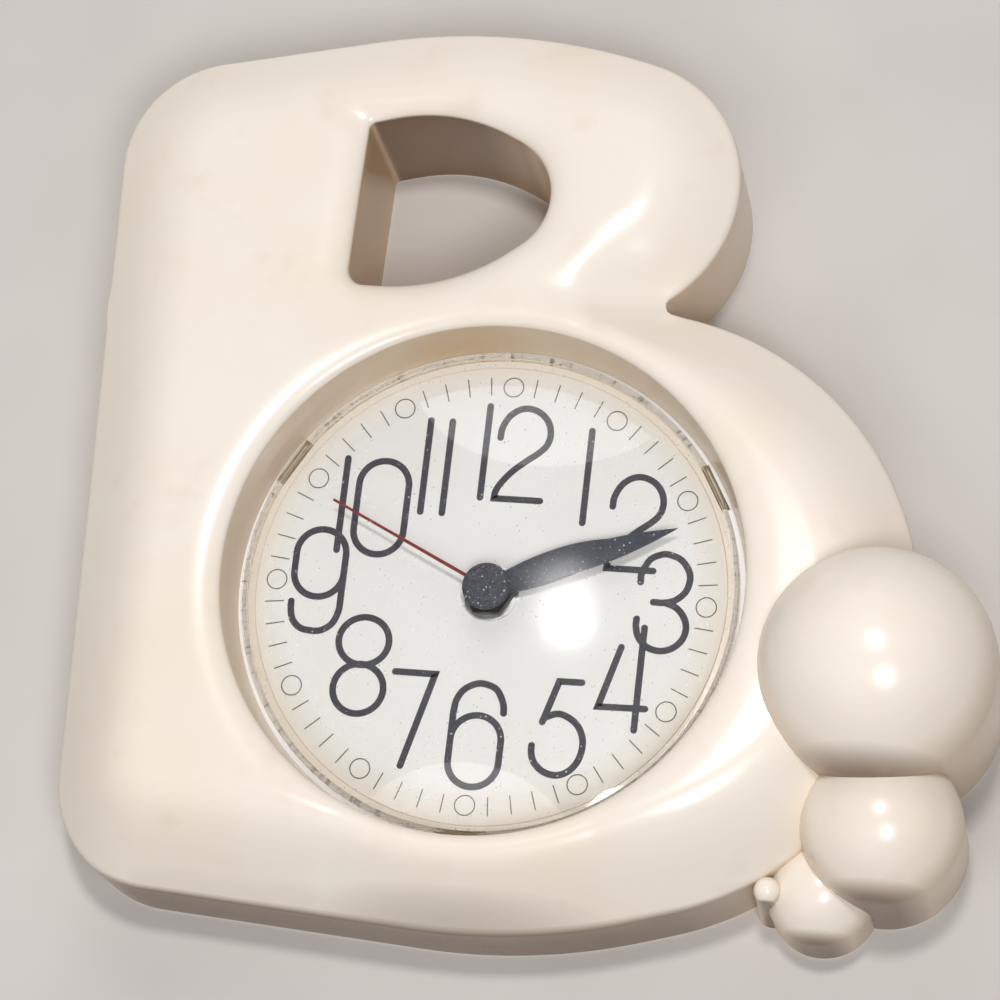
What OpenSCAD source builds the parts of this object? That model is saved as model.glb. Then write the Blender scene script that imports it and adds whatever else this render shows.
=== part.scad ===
// Wall clock shaped as an inflated letter B, with a quartz movement.
// Every module is drawn lying on its back: X right, Y up the wall, Z out from the wall.
// stand() then hangs it up: X right, front towards -Y, Z up, keyhole at the origin.

/* [Letter outline] */
// Letter corners: x, y and corner radius, from the waist notch round the top, anticlockwise
letter = [[33, 72.7, 2], [50.8, 88, 36], [50.8, 128.6, 32], [-7, 146, 147], [-105, 126.5, 28],
          [-103.2, 66, 0], [-99, -76, 26], [16, -83.8, 148], [102.5, -58, 75], [102.5, 59, 75]];
// Upper through hole corners: x, y and corner radius
hole = [[-42, 72.4, 4], [-16, 72.4, 48], [5.5, 89.7, 16], [5.5, 107.2, 15.8],
        [-19.8, 119.9, 43], [-41.3, 114.7, 1.5]];
// Middle of the through hole, where its spokes start
hole_mid = [-19, 95];
// How far the seam between the bowls dips below a straight line
seam_dip = 4.2; // [3:0.1:5]

/* [Case shell] */
// Height of the outer wall above the wall plane, level with the dial's middle
edge_h = 26; // [22:0.5:30]
// Extra height of the outer wall for each millimetre up the letter
edge_slope = 0.0486; // [0:0.005:0.06]
// Distance over which the front rolls down to the outer wall
roll_w = 24; // [16:1:30]
// Distance over which the front rolls down into the well and the hole
lip_w = 9; // [6:0.5:12]
// Height of the crest above the lips
crest_rise = 3.5; // [2:0.25:5]
// Height of the well's lip above the wall plane
lip_h = 39.5; // [37:0.5:42]
// Height of the through hole's lip above the wall plane
hole_lip_h = 36.5; // [35:0.5:39.5]
// Wall thickness of the moulding
wall = 3; // [2.4:0.1:3.4]

/* [Valleys in the front] */
// Depth of the valley that runs in from the waist notch
notch_depth = 5; // [3:0.5:6]
// Length over which that valley fades out
notch_reach = 42; // [34:1:50]
// Half width of that valley
notch_half_w = 6.5; // [5:0.5:8]
// Direction of that valley, anticlockwise from X
notch_dir = 185; // [182:1:190]
// Depth of the crease at the through hole's upper left corner
crease_depth = 1.8; // [1:0.1:2.4]
// Length over which that crease fades out
crease_reach = 24; // [16:1:30]
// Half width of that crease
crease_half_w = 3.5; // [2.5:0.5:5]
// Direction of that crease, anticlockwise from X
crease_dir = 160; // [150:1:170]

/* [Bubbles] */
// Bubbles: x, y, radius and height of the ball's middle above the wall plane
bubbles = [[94.7, -15.1, 28, 37], [97.8, -49.4, 19, 25], [84, -63.5, 13, 12], [70.2, -67.4, 3.2, 21]];
// Wall thickness of a bubble
bubble_wall = 2.6; // [2:0.1:3]

/* [Well and dial] */
// Radius of the well at its lip
well_r = 62.6; // [60:0.1:64]
// How much the well narrows from its lip to its floor
well_draft = 1.6; // [0.5:0.1:3]
// Height of the dial's face above the wall plane
dial_h = 25; // [24.5:0.1:25.5]
// Width of the well's floor from the lens's outer edge in to the dial
lens_foot = 3.6; // [3:0.1:5]
// Thickness of the dial disc
dial_t = 1.5; // [1:0.1:2]
// Width of the ledge that carries the dial's edge
ledge_w = 3.5; // [2:0.5:6]
// Thickness of that ledge
ledge_t = 2; // [1.5:0.1:3]

/* [Lens] */
// Gap from the well's wall to the lens rim
lens_gap = 0.9; // [0.5:0.1:1.5]
// Height of the lens rim above the dial's face
lens_rim_h = 3.5; // [3:0.1:5]
// Rise of the lens dome above its rim
lens_rise = 9; // [8.5:0.25:10]
// Thickness of the lens
lens_t = 1.5; // [1.2:0.1:1.8]
// Width of a snap tab of the lens
tab_w = 12; // [8:1:16]
// Number of snap tabs
tab_count = 3; // [2:1:6]
// How far a tab's hook reaches out behind the well's ledge
tab_hook_out = 0.9; // [0.6:0.1:1.2]

/* [Hands] */
// Angle of the hour hand, clockwise from 12
hour_angle = 65.6; // [0:1:359]
// Angle of the minute hand, clockwise from 12
minute_angle = 68; // [0:1:359]
// Angle of the second hand, clockwise from 12
second_angle = 296; // [0:1:359]
// Length of the hour hand, as a share of the dial's radius
hour_reach = 0.637; // [0.5:0.001:0.75]
// Length of the minute hand, as a share of the dial's radius
minute_reach = 0.839; // [0.7:0.001:0.88]
// Length of the second hand, as a share of the dial's radius
second_reach = 0.779; // [0.7:0.001:0.85]
// Greatest width of the hour hand
hour_w = 7.6; // [5:0.1:9]
// Greatest width of the minute hand
minute_w = 6; // [4:0.1:8]
// Width of the second hand
second_w = 0.9; // [0.6:0.1:1.5]
// Thickness of a hand
hand_t = 0.4; // [0.3:0.05:0.5]
// Gap between one hand and the next
hand_gap = 0.6; // [0.4:0.05:0.8]
// Radius of the cap over the hands
cap_r = 5.7; // [4:0.1:7]
// Thickness of that cap
cap_t = 1.6; // [1:0.1:1.8]

/* [Shaft and nut] */
// Radius of the threaded bush on the front housing
bush_r = 4; // [3.8:0.1:4.2]
// Height of the bush above the dial's face
bush_up = 2.7; // [2.6:0.1:3]
// Width of the nut across its flats
nut_af = 11; // [10:0.5:12]
// Thickness of the nut
nut_t = 2; // [1.6:0.1:2.2]
// Radius of the metal washer under the nut
washer_r = 7; // [6:0.1:9]
// Thickness of the metal washer
washer_t = 0.4; // [0.2:0.1:0.5]
// Thickness of the rubber washer behind the dial
rubber_t = 0.8; // [0.5:0.1:1.2]
// Radius of the rubber washer
rubber_r = 11; // [8:0.5:14]
// Running clearance of each sleeve on the shaft inside it
run_gap = 0.05; // [0.03:0.01:0.08]
// Outer radius of the hour wheel's sleeve
hour_tube_r = 2.55; // [2.5:0.01:2.6]
// Outer radius of the cannon pinion's sleeve
cannon_r = 1.75; // [1.7:0.01:1.8]
// Radius of the second wheel's arbor
second_arbor_r = 0.9; // [0.85:0.01:0.95]

/* [Movement housing] */
// Width of the movement
move_w = 56; // [56:1:58]
// Height of the movement above the shaft
move_up = 26; // [26:0.5:27]
// Height of the movement below the shaft
move_down = 30; // [30:0.5:31]
// Corner radius of the movement
move_corner = 3; // [2:0.5:4]
// Thickness of the movement's plates and walls
plate_t = 1.5; // [1.3:0.1:1.6]
// Depth of the movement, front plate to cover
move_depth = 17; // [17:0.1:17.2]

/* [Gears] */
// Module of the fast train's teeth
tooth_m = 0.35; // [0.34:0.005:0.36]
// Module of the rotor's teeth
rotor_m = 0.3; // [0.28:0.01:0.31]
// Radius of a plain arbor
arbor_r = 0.6; // [0.5:0.05:0.7]
// Radius of the motion wheel's stud
stud_r = 1; // [0.9:0.05:1.1]

/* [Drive and cell] */
// Radius of the rotor's magnet
magnet_r = 3; // [2.6:0.1:3.2]
// Air gap between the magnet and the stator
air_gap = 0.6; // [0.4:0.1:0.8]
// Radius of the coil's winding
coil_r = 2.2; // [2:0.1:2.3]
// Length of the coil's winding
coil_len = 14; // [10:1:15]
// Radius of the setting knob
knob_r = 4; // [3:0.1:4.2]
// Radius of the cell
cell_r = 7.1; // [6.9:0.05:7.1]
// Length of the cell without its nub
cell_len = 49.2; // [48.5:0.1:49.4]
// Width of a contact strip
contact_w = 9; // [6:0.5:10]
// Thickness of a contact strip
contact_t = 0.4; // [0.3:0.05:0.5]

/* [Keyhole] */
// Keyhole's place across the letter, from the dial's middle
hang_x = -0.5; // [-8:0.5:2]
// Height of the keyhole's hanging point above the dial's middle
hang_y = 130; // [129:0.5:131]
// Radius of the keyhole's round end
key_r = 4.5; // [4:0.1:5]
// Width of the keyhole's slot
key_slot = 4; // [3.5:0.1:4.5]
// Length from the hanging point to the middle of the round end
key_drop = 7; // [6:0.5:7]
// Width of the web that carries the keyhole
web_w = 26; // [22:1:30]
// Thickness of that web
web_t = 2.5; // [2:0.1:3]

/* [Hidden] */
seam_corner = 5;                    // letter corner where the seam between the bowls meets the stem

CREAM = "#efe3cf";
BLACK = "#26272a";
STEEL = "#b9bcc0";
BRASS = "#c2a15a";
WHITE = "#f3f2ee";
NYLON = "#e9e6dc";
COPPER = "#b5652e";

fine = 96;                          // facets of a true circle
eps = 0.01;                         // overlap that joins solids of one piece
arc_step = 12;                      // degrees between points on an outline's corner
line_step = 16;                     // millimetres between points on an outline's straight
seam_steps = 12;                    // stretches along the seam
seat_facets = 48;                    // facets of the dial's seat, part of the faceted skin
dome_steps = 24;                    // stretches along the lens dome's section
front_steps = 6;                    // stretches across the front, outline to lip
near_gap = 0.3;                     // gap between pieces that must not touch

// Radii in the well, from the wall inwards
well_floor_r = well_r - well_draft;
lens_r = well_floor_r - lens_gap;
dial_r = lens_r - lens_foot;
ledge_r = dial_r - ledge_w;

// Heights above the wall plane
dial_back_h = dial_h - dial_t;
well_floor_h = dial_back_h - ledge_t;
move_front_h = dial_back_h - rubber_t;
move_back_h = move_front_h - move_depth;
plate_in_h = move_front_h - plate_t;
cover_in_h = move_back_h + plate_t;
bush_top_h = dial_h + bush_up;
hour_hand_h = bush_top_h + near_gap;
minute_hand_h = hour_hand_h + hand_t + hand_gap;
second_hand_h = minute_hand_h + hand_t + hand_gap;

// Layers of the train, each [underside, top], counted from the front plate's inner face
hour_layer = [plate_in_h - 1.8, plate_in_h - 0.4];
motion_layer = [plate_in_h - 3.6, plate_in_h - 2.4];
cannon_layer = [plate_in_h - 3.8, plate_in_h - 2.2];
centre_layer = [plate_in_h - 6.2, plate_in_h - 5];
third_pinion_layer = [plate_in_h - 6.8, plate_in_h - 4.4];
inter_layer = [plate_in_h - 7.8, plate_in_h - 7];
rotor_pinion_layer = [plate_in_h - 8.2, plate_in_h - 6.6];
third_layer = [plate_in_h - 9.5, plate_in_h - 8.3];
second_pinion_layer = [plate_in_h - 9.8, plate_in_h - 8];
second_layer = [plate_in_h - 11.8, plate_in_h - 10.6];
inter_pinion_layer = [plate_in_h - 12.2, plate_in_h - 10.2];
magnet_layer = [plate_in_h - 12, plate_in_h - 8.8];
stator_layer = [plate_in_h - 10.8, plate_in_h - 10];

// Tooth counts, which set the ratios between the turning pieces
rotor_z = 12;
inter_z = 60;
inter_pinion_z = 10;
second_z = 60;
second_pinion_z = 8;
third_z = 64;
third_pinion_z = 8;
centre_z = 60;
cannon_z = 12;                      // also the teeth of the knob's pinion
motion_z = 36;
motion_pinion_z = 10;
hour_z = 40;

// Distances between meshing axes
second_third_d = tooth_m * (second_pinion_z + third_z) / 2;
inter_second_d = tooth_m * (inter_pinion_z + second_z) / 2;
rotor_inter_d = rotor_m * (rotor_z + inter_z) / 2;
motion_d = tooth_m * (cannon_z + motion_z) / 2;
centre_m = 2 * second_third_d / (third_pinion_z + centre_z);
hour_m = 2 * motion_d / (motion_pinion_z + hour_z);

// Directions of the axes, anticlockwise from X
third_dir = 150;
inter_dir = 50;
rotor_dir = -5;
motion_dir = 200;
knob_dir = 220;
third_at = second_third_d * aim(third_dir);
inter_at = inter_second_d * aim(inter_dir);
rotor_at = inter_at + rotor_inter_d * aim(rotor_dir);
motion_at = motion_d * aim(motion_dir);
knob_at = motion_at + motion_d * aim(knob_dir);

// Tooth phases, so that every pair is in mesh
inter_pinion_phase = mesh_phase(0, second_z, inter_pinion_z, inter_dir);
third_phase = mesh_phase(0, second_pinion_z, third_z, third_dir);
centre_phase = mesh_phase(third_phase, third_pinion_z, centre_z, third_dir + 180);
rotor_phase = mesh_phase(inter_pinion_phase, inter_z, rotor_z, rotor_dir);
motion_phase = mesh_phase(0, cannon_z, motion_z, motion_dir);
hour_phase = mesh_phase(motion_phase, motion_pinion_z, hour_z, motion_dir + 180);
knob_phase = mesh_phase(motion_phase, motion_z, cannon_z, knob_dir);

// Small shares of the movement
pivot_len = 1;                      // depth of a pivot in its plate
clutch_len = 0.6;                   // length of the cannon below the centre wheel
clutch_t = 0.3;                     // thickness of the clutch spring
wall_in_t = 1.2;                    // thickness of the wall between the bay and the train
knob_shaft_r = 1.2;
knob_t = 2.4;
knob_flutes = 16;
rotor_hub_r = 1.1;
tooth_root = 0.3;                   // half widths of a tooth, as shares of its pitch
tooth_mid = 0.205;
tooth_tip = 0.1;
tab_depth = 1.6;                    // thickness of a lens tab
tab_hook = 0.8;                     // length of a lens tab behind the ledge

// Battery bay
bay_floor_y = -move_down + plate_t;
bay_top_y = bay_floor_y + 2 * cell_r + 0.6;
bay_in_w = move_w - 2 * plate_t;
cell_y = (bay_floor_y + bay_top_y) / 2;
cell_mid_h = move_back_h + 0.3 + cell_r;
cell_nub = 1.3;
cell_nub_r = 2.7;

// Coil and board
core_x0 = 2;
core_x1 = 25.5;
core_y = move_up - plate_t - coil_r - 0.4;
core_w = 2;
core_t = 1;
core_h = stator_layer[1] + core_t / 2;
arm_r = 1.5;                        // half width of a stator arm
arm_bend = 5.4;                     // length of an arm beside the coil
coil_x0 = (core_x0 + core_x1 - coil_len) / 2;
coil_x1 = coil_x0 + coil_len;
bobbin_r = 1.3;
board_x0 = -bay_in_w / 2 + 0.5;
board_x1 = -1;
board_y0 = third_at.y + tooth_m * third_z / 2 + 1;
board_y1 = move_up - plate_t - near_gap;
board_t = 1;
chip_r = 1.8;
crystal_r = 1;
crystal_len = 6;

function aim(a) = [cos(a), sin(a)];
function lerp(a, b, t) = a + (b - a) * t;
function unit(v) = v / norm(v);
function left_of(v) = [-v.y, v.x];
function clamp01(t) = min(1, max(0, t));
function dot(a, b) = a * b;

// Angle of a tooth's middle on gear b that meshes with gear a, seen from a in direction dir
function mesh_phase(phase_a, z_a, z_b, dir) =
    dir + 180 - (0.5 - (dir - phase_a) * z_a / 360) * 360 / z_b;

// One rounded corner of an outline: [arc middle, first angle, sweep, radius, side]
function corner(pts, i) =
    let (n = len(pts), c = pts[i], p = pts[(i + n - 1) % n], q = pts[(i + 1) % n],
         u = unit([c.x - p.x, c.y - p.y]), v = unit([q.x - c.x, q.y - c.y]),
         turn = atan2(cross([u.x, u.y, 0], [v.x, v.y, 0]).z, dot(u, v)),
         side = turn < 0 ? -1 : 1,
         start = [c.x, c.y] - u * c.z * tan(abs(turn) / 2),
         mid = start + left_of(u) * c.z * side,
         from = left_of(u) * -side)
    [mid, atan2(from.y, from.x), turn, c.z, side];
function corners(pts) = [for (i = [0 : len(pts) - 1]) corner(pts, i)];

// Point on a rounded corner at share t of its sweep, moved inwards by inset
function on_corner(k, t, inset) = k[0] + aim(k[1] + k[2] * t) * (k[3] - k[4] * inset);
// Points of corner i from share t0 to t1, then of the straight that follows it
function corner_run(ks, i, inset, t0, t1, with_line) =
    let (k = ks[i], q = ks[(i + 1) % len(ks)],
         n = k[3] == 0 ? 0 : max(2, 2 * round(abs(k[2]) * (t1 - t0) / arc_step / 2)),
         a = on_corner(k, 1, 0), b = on_corner(q, 0, 0),
         m = max(1, round(norm(b - a) / line_step)),
         ai = on_corner(k, 1, inset), bi = on_corner(q, 0, inset))
    concat(n == 0 ? [on_corner(k, 0, inset)]
                  : [for (j = [0 : n]) on_corner(k, lerp(t0, t1, j / n), inset)],
           with_line && norm(b - a) > eps && m > 1
               ? [for (j = [1 : m - 1]) lerp(ai, bi, j / m)] : []);
// Whole outline moved inwards by inset
function outline(ks, inset) =
    [for (i = [0 : len(ks) - 1]) each corner_run(ks, i, inset, 0, 1, true)];
// Outline from the notch over the top to the stem's seam point, both ends included
function upper_run(ks, inset) = concat(
    corner_run(ks, 0, inset, 0.5, 1, true),
    [for (i = [1 : seam_corner - 1]) each corner_run(ks, i, inset, 0, 1, true)],
    [on_corner(ks[seam_corner], 0, inset)]);
// Outline from the stem's seam point round the bottom to the notch, both ends included
function lower_run(ks, inset) = concat(
    [for (i = [seam_corner : len(ks) - 1]) each corner_run(ks, i, inset, 0, 1, true)],
    corner_run(ks, 0, inset, 0, 0.5, false));
// Points between the bowls, from the notch to the stem, ends left out
function seam_run(ks, inset) =
    let (a = on_corner(ks[0], 0.5, inset), b = on_corner(ks[seam_corner], 0, inset))
    [for (j = [1 : seam_steps - 1])
        let (t = (1 - cos(180 * j / seam_steps)) / 2)
        lerp(a, b, t) - [0, seam_dip * sin(180 * t)]];

// Distance from a point to a rounded outline
function arc_gap(k, p) =
    let (v = p - k[0], a = atan2(v.y, v.x) - k[1], s = sign(k[2]) * a,
         swept = s - 360 * floor(s / 360))
    k[3] > 0 && swept <= abs(k[2]) ? abs(norm(v) - k[3]) : 1e6;
function line_gap(a, b, p) =
    let (v = b - a, t = clamp01(dot(p - a, v) / max(eps, dot(v, v)))) norm(p - lerp(a, b, t));
function outline_gap(ks, p) = min([for (i = [0 : len(ks) - 1])
    let (from = on_corner(ks[i], 1, 0), to = on_corner(ks[(i + 1) % len(ks)], 0, 0))
    min(arc_gap(ks[i], p), line_gap(from, to, p))]);

// Rise of a rolled edge: 0 at the edge, 1 from one width inwards
function soft_roll(t) = sin(90 * clamp01(t));
function round_roll(t) = sqrt(1 - pow(1 - clamp01(t), 2));

// Height of the outer wall's top edge
function edge_at(p) = edge_h + edge_slope * p.y;
// Depth of a valley [depth, reach, half width] that starts at a point and fades out along dir
function valley(v, start, dir, p) =
    let (d = p - start, along = dot(d, aim(dir)), side = cross([d.x, d.y, 0], [aim(dir).x, aim(dir).y, 0]).z)
    v[0] * pow(clamp01(1 - abs(along) / v[1]), 1.5) * exp(-pow(side / v[2], 2))
    * (along < 0 ? exp(-pow(along / v[2], 2)) : 1);
// Height of the front at a point: the lips, the crest, the roll to the outer wall and the valleys
function front_at(ks, hs, p) =
    let (b = outline_gap(ks, p), dw = max(0, norm(p) - well_r), dh = outline_gap(hs, p),
         a = min(dw, dh),
         lip = lerp(lip_h, hole_lip_h, clamp01(dw / max(eps, dw + dh))),
         notch = on_corner(ks[0], 0.5, 0), crease = on_corner(hs[len(hs) - 1], 0.5, 0),
         dip = valley([notch_depth, notch_reach, notch_half_w], notch, notch_dir, p)
             + valley([crease_depth, crease_reach, crease_half_w], crease, crease_dir, p),
         top = lip + crest_rise * round_roll(a / lip_w) - dip * soft_roll(a / lip_w))
    lerp(edge_at(p), top, soft_roll(b / min(roll_w, a + b + eps)));

// Where a spoke from the hole's middle to a point leaves the hole's outline
function on_loop(loop, mid, p) =
    let (d = unit(p - mid),
         hits = [for (i = [0 : len(loop) - 1])
             let (a = loop[i] - mid, b = loop[(i + 1) % len(loop)] - mid,
                  ca = d.x * a.y - d.y * a.x, cb = d.x * b.y - d.y * b.x)
             if (ca <= 0 && cb > 0) lerp(a, b, ca / (ca - cb))])
    mid + hits[0];

// Share of the way across the front at step k, close together at both ends
function across(k) = (1 - cos(180 * k / front_steps)) / 2;
function reversed(v) = [for (i = [len(v) - 1 : -1 : 0]) v[i]];
function at_height(pts, h) = [for (p = pts) [p.x, p.y, h]];
function well_lips(r, rays) = [for (p = rays) r * unit(p)];
function hole_lips(hs, inset, rays) =
    let (loop = outline(hs, inset)) [for (p = rays) on_loop(loop, hole_mid, p)];

// Points of one bowl, ray by ray: outer skin, inner skin, outer rim, inner rim, and the feet of
// the lip's two walls. The first "walled" rays start on the letter's outline, the rest on the seam.
function bowl_points(ks, hs, rays, lips, rays_in, lips_in, feet, feet_in, walled) = concat(
    [for (i = [0 : len(rays) - 1]) each [for (k = [0 : front_steps])
        let (p = lerp(rays[i], lips[i], across(k)))
        [p.x, p.y, k == 0 && i < walled ? edge_at(p) : front_at(ks, hs, p)]]],
    [for (i = [0 : len(rays) - 1]) each [for (k = [0 : front_steps])
        let (p = lerp(rays_in[i], lips_in[i], across(k)))
        [p.x, p.y, front_at(ks, hs, p) - wall]]],
    at_height(rays, 0), at_height(rays_in, 0), feet, feet_in);

// Faces of one bowl. own says which point number a part of it has; the rays on the seam and at its
// ends take their outer points from the other bowl through borrow, so that both bowls are one skin.
function quad(a, b, c, d) = [[a, b, c], [a, c, d]];
function bowl_faces(n, first, walled, borrow) =
    let (w = front_steps + 1, last = front_steps,
         skin = function (i, k) k == 0 && borrow(i) >= 0 ? borrow(i) * w : first + i * w + k,
         skin_in = function (i, k) k == 0 && borrow(i) >= 0 ? (lower_count + borrow(i)) * w
                                                           : first + (n + i) * w + k,
         rim = function (i) borrow(i) >= 0 ? 2 * lower_count * w + borrow(i) : first + 2 * n * w + i,
         rim_in = function (i) borrow(i) >= 0 ? 2 * lower_count * w + lower_count + borrow(i)
                                              : first + 2 * n * w + n + i,
         foot = function (i) first + 2 * n * w + 2 * n + i,
         foot_in = function (i) first + 2 * n * w + 3 * n + i)
    concat(
        [for (i = [0 : n - 1]) let (j = (i + 1) % n) each concat(
            [for (k = [0 : last - 1]) each concat(
                quad(skin(i, k), skin(i, k + 1), skin(j, k + 1), skin(j, k)),
                quad(skin_in(i, k), skin_in(j, k), skin_in(j, k + 1), skin_in(i, k + 1)))],
            quad(skin(j, last), skin(i, last), foot(i), foot(j)),
            quad(foot_in(i), foot_in(j), foot(j), foot(i)),
            quad(skin_in(i, last), skin_in(j, last), foot_in(j), foot_in(i)))],
        [for (i = [0 : walled - 2]) let (j = i + 1) each concat(
            quad(skin(i, 0), skin(j, 0), rim(j), rim(i)),
            quad(rim(i), rim(j), rim_in(j), rim_in(i)),
            quad(skin_in(j, 0), skin_in(i, 0), rim_in(i), rim_in(j)))]);
// Numbers of points along the two bowls' outlines
letter_corners = corners(letter);
hole_corners = corners(hole);
lower_walled = len(lower_run(letter_corners, 0));
upper_walled = len(upper_run(letter_corners, 0));
lower_count = lower_walled + seam_steps - 1;
upper_count = upper_walled + seam_steps - 1;
// Ray of the lower bowl that the upper bowl's ray i shares, or -1
function lower_twin(i) = i == 0 ? lower_walled - 1
    : i < upper_walled - 1 ? -1
    : i == upper_walled - 1 ? 0
    : lower_walled - 1 + seam_steps - (i - upper_walled + 1);

// The hollow letter: front skin, outer wall, well wall and the wall round the through hole
module letter_shell() {
    ks = letter_corners;
    hs = hole_corners;
    low = concat(lower_run(ks, 0), seam_run(ks, 0));
    low_in = concat(lower_run(ks, wall), seam_run(ks, wall));
    up = concat(upper_run(ks, 0), reversed(seam_run(ks, 0)));
    up_in = concat(upper_run(ks, wall), reversed(seam_run(ks, wall)));
    well_foot = at_height(well_lips(well_floor_r, low), well_floor_h);
    well_foot_in = at_height(well_lips(well_r + wall, low_in), well_floor_h);
    hole_edge = hole_lips(hs, 0, up);
    hole_edge_in = hole_lips(hs, -wall, up_in);
    polyhedron(
        points = concat(
            bowl_points(ks, hs, low, well_lips(well_r, low), low_in, well_lips(well_r + wall, low_in),
                        well_foot, well_foot_in, lower_walled),
            bowl_points(ks, hs, up, hole_edge, up_in, hole_edge_in,
                        at_height(hole_edge, 0), at_height(hole_edge_in, 0), upper_walled)),
        faces = concat(
            bowl_faces(lower_count, 0, lower_walled, function (i) -1),
            bowl_faces(upper_count, lower_count * (2 * front_steps + 6), upper_walled,
                       function (i) lower_twin(i))));
}

module stand() {
    translate([-hang_x, 0, -hang_y]) rotate([90, 0, 0]) children();
}
module ring(r_out, r_in, h0, h1, facets = fine) {
    rotate_extrude($fn = facets) translate([r_in, h0]) square([r_out - r_in, h1 - h0]);
}
module rod(r, h0, h1) { translate([0, 0, h0]) cylinder(r = r, h = h1 - h0, $fn = fine); }
module at(p) { translate([p.x, p.y, 0]) children(); }
module box(x0, x1, y0, y1, h0, h1) { translate([x0, y0, h0]) cube([x1 - x0, y1 - y0, h1 - h0]); }

// Moulded pieces

module bubble_balls(inset, foot_h) {
    for (b = bubbles) translate([b.x, b.y, 0]) {
        translate([0, 0, b[3]]) sphere(r = b.z - inset, $fn = bubble_facets(b));
        translate([0, 0, foot_h]) cylinder(r = b.z - inset, h = b[3] - foot_h, $fn = bubble_facets(b));
    }
}
function bubble_facets(b) = b.z > 10 ? 20 : 10;
// The letter's cavity as a solid, so that no bubble wall crosses it
module letter_core() {
    linear_extrude(edge_h - wall) polygon(outline(letter_corners, wall / 2));
}
module bubble_shell() {
    difference() {
        bubble_balls(0, 0);
        bubble_balls(bubble_wall, -wall);
        translate([0, 0, -eps]) letter_core();
    }
}
module keyhole() {
    at([hang_x, hang_y]) translate([0, 0, -eps]) {
        translate([0, -key_drop, 0]) cylinder(r = key_r, h = web_t + 2 * eps, $fn = fine);
        cylinder(r = key_slot / 2, h = web_t + 2 * eps, $fn = fine);
        translate([-key_slot / 2, -key_drop, 0]) cube([key_slot, key_drop, web_t + 2 * eps]);
    }
}
// Web between the outer wall and the through hole's wall, cut to the letter's outline
module hanger_web() {
    difference() {
        intersection() {
            linear_extrude(web_t) difference() {
                polygon(outline(letter_corners, wall / 2));
                polygon(outline(hole_corners, -wall / 2));
            }
            box(hang_x - web_w / 2, hang_x + web_w / 2, hole_mid.y, letter[3].y, 0, web_t);
        }
        keyhole();
    }
}
module tab_slots() {
    for (i = [0 : tab_count - 1]) rotate(-90 + 360 * i / tab_count)
        box(lens_r - tab_depth - near_gap, lens_r + near_gap, -tab_w / 2 - near_gap, tab_w / 2 + near_gap,
            well_floor_h - 1, dial_h + 1);
}
module dial_seat() {
    difference() {
        union() {
            ring(well_floor_r + wall / 2, ledge_r, well_floor_h, dial_back_h, seat_facets);
            ring(well_floor_r + wall / 2, dial_r + near_gap, well_floor_h, dial_h, seat_facets);
        }
        tab_slots();
    }
}
// The case is one moulding: resize with zeros keeps its size and joins what it holds into one skin
module case() stand() color(CREAM) resize([0, 0, 0]) {
    difference() {
        letter_shell();
        bubble_balls(bubble_wall, -wall);
    }
    bubble_shell();
    dial_seat();
    hanger_web();
}

// Profile of a dome between radius 0 and r: its outer arc, then its inner arc back
function dome_arc(r, rise, drop) =
    let (ball = (r * r + rise * rise) / (2 * rise))
    [for (i = [0 : dome_steps]) let (x = r * i / dome_steps)
        [x, sqrt(ball * ball - x * x) - ball + rise - drop]];
module lens() stand() color([0.95, 0.96, 0.97, 0.3]) {
    rim_top = dial_h + lens_rim_h;
    translate([0, 0, rim_top]) rotate_extrude($fn = fine)
        polygon(concat(dome_arc(lens_r - lens_t / 2, lens_rise, 0),
                       reversed(dome_arc(lens_r - lens_t / 2, lens_rise, lens_t))));
    ring(lens_r, lens_r - lens_t, dial_h, rim_top);
    for (i = [0 : tab_count - 1]) rotate(-90 + 360 * i / tab_count) {
        box(lens_r - tab_depth, lens_r - near_gap, -tab_w / 2, tab_w / 2,
            well_floor_h - tab_hook, dial_h + eps);
        box(lens_r - tab_depth, lens_r + tab_hook_out, -tab_w / 2, tab_w / 2,
            well_floor_h - tab_hook - near_gap, well_floor_h - near_gap);
    }
}
module dial() stand() color(WHITE) ring(dial_r, bush_r + near_gap / 2, dial_back_h, dial_h);

// Hands

// Outline of a leaf hand pointing up: length, width, width at its root
module leaf(len, w, root_w) {
    wide_at = 0.45;
    polygon([
        [-root_w / 2, 0], [root_w / 2, 0],
        for (t = [0.1 : 0.1 : 0.95]) [lerp(root_w, w, soft_roll(t / wide_at)) / 2
            * (t < wide_at ? 1 : cos(90 * pow((t - wide_at) / (1 - wide_at), 1.2))), len * t],
        [0, len],
        for (t = [0.9 : -0.1 : 0.1]) [-lerp(root_w, w, soft_roll(t / wide_at)) / 2
            * (t < wide_at ? 1 : cos(90 * pow((t - wide_at) / (1 - wide_at), 1.2))), len * t]]);
}
module hand(angle, h, bore_r, eye_r, len, w, root_w) {
    translate([0, 0, h]) rotate(-angle) difference() {
        union() {
            linear_extrude(hand_t) leaf(len, w, root_w);
            cylinder(r = eye_r, h = hand_t, $fn = fine);
        }
        translate([0, 0, -eps]) cylinder(r = bore_r, h = hand_t + 2 * eps, $fn = fine);
    }
}
module hour_hand() stand() color(BLACK)
    hand(hour_angle, hour_hand_h, hour_tube_r, hour_tube_r + 2, hour_reach * dial_r, hour_w, hour_w / 2);
module minute_hand() stand() color(BLACK)
    hand(minute_angle, minute_hand_h, cannon_r, cannon_r + 2.4,
        minute_reach * dial_r, minute_w, minute_w / 2);
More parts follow.
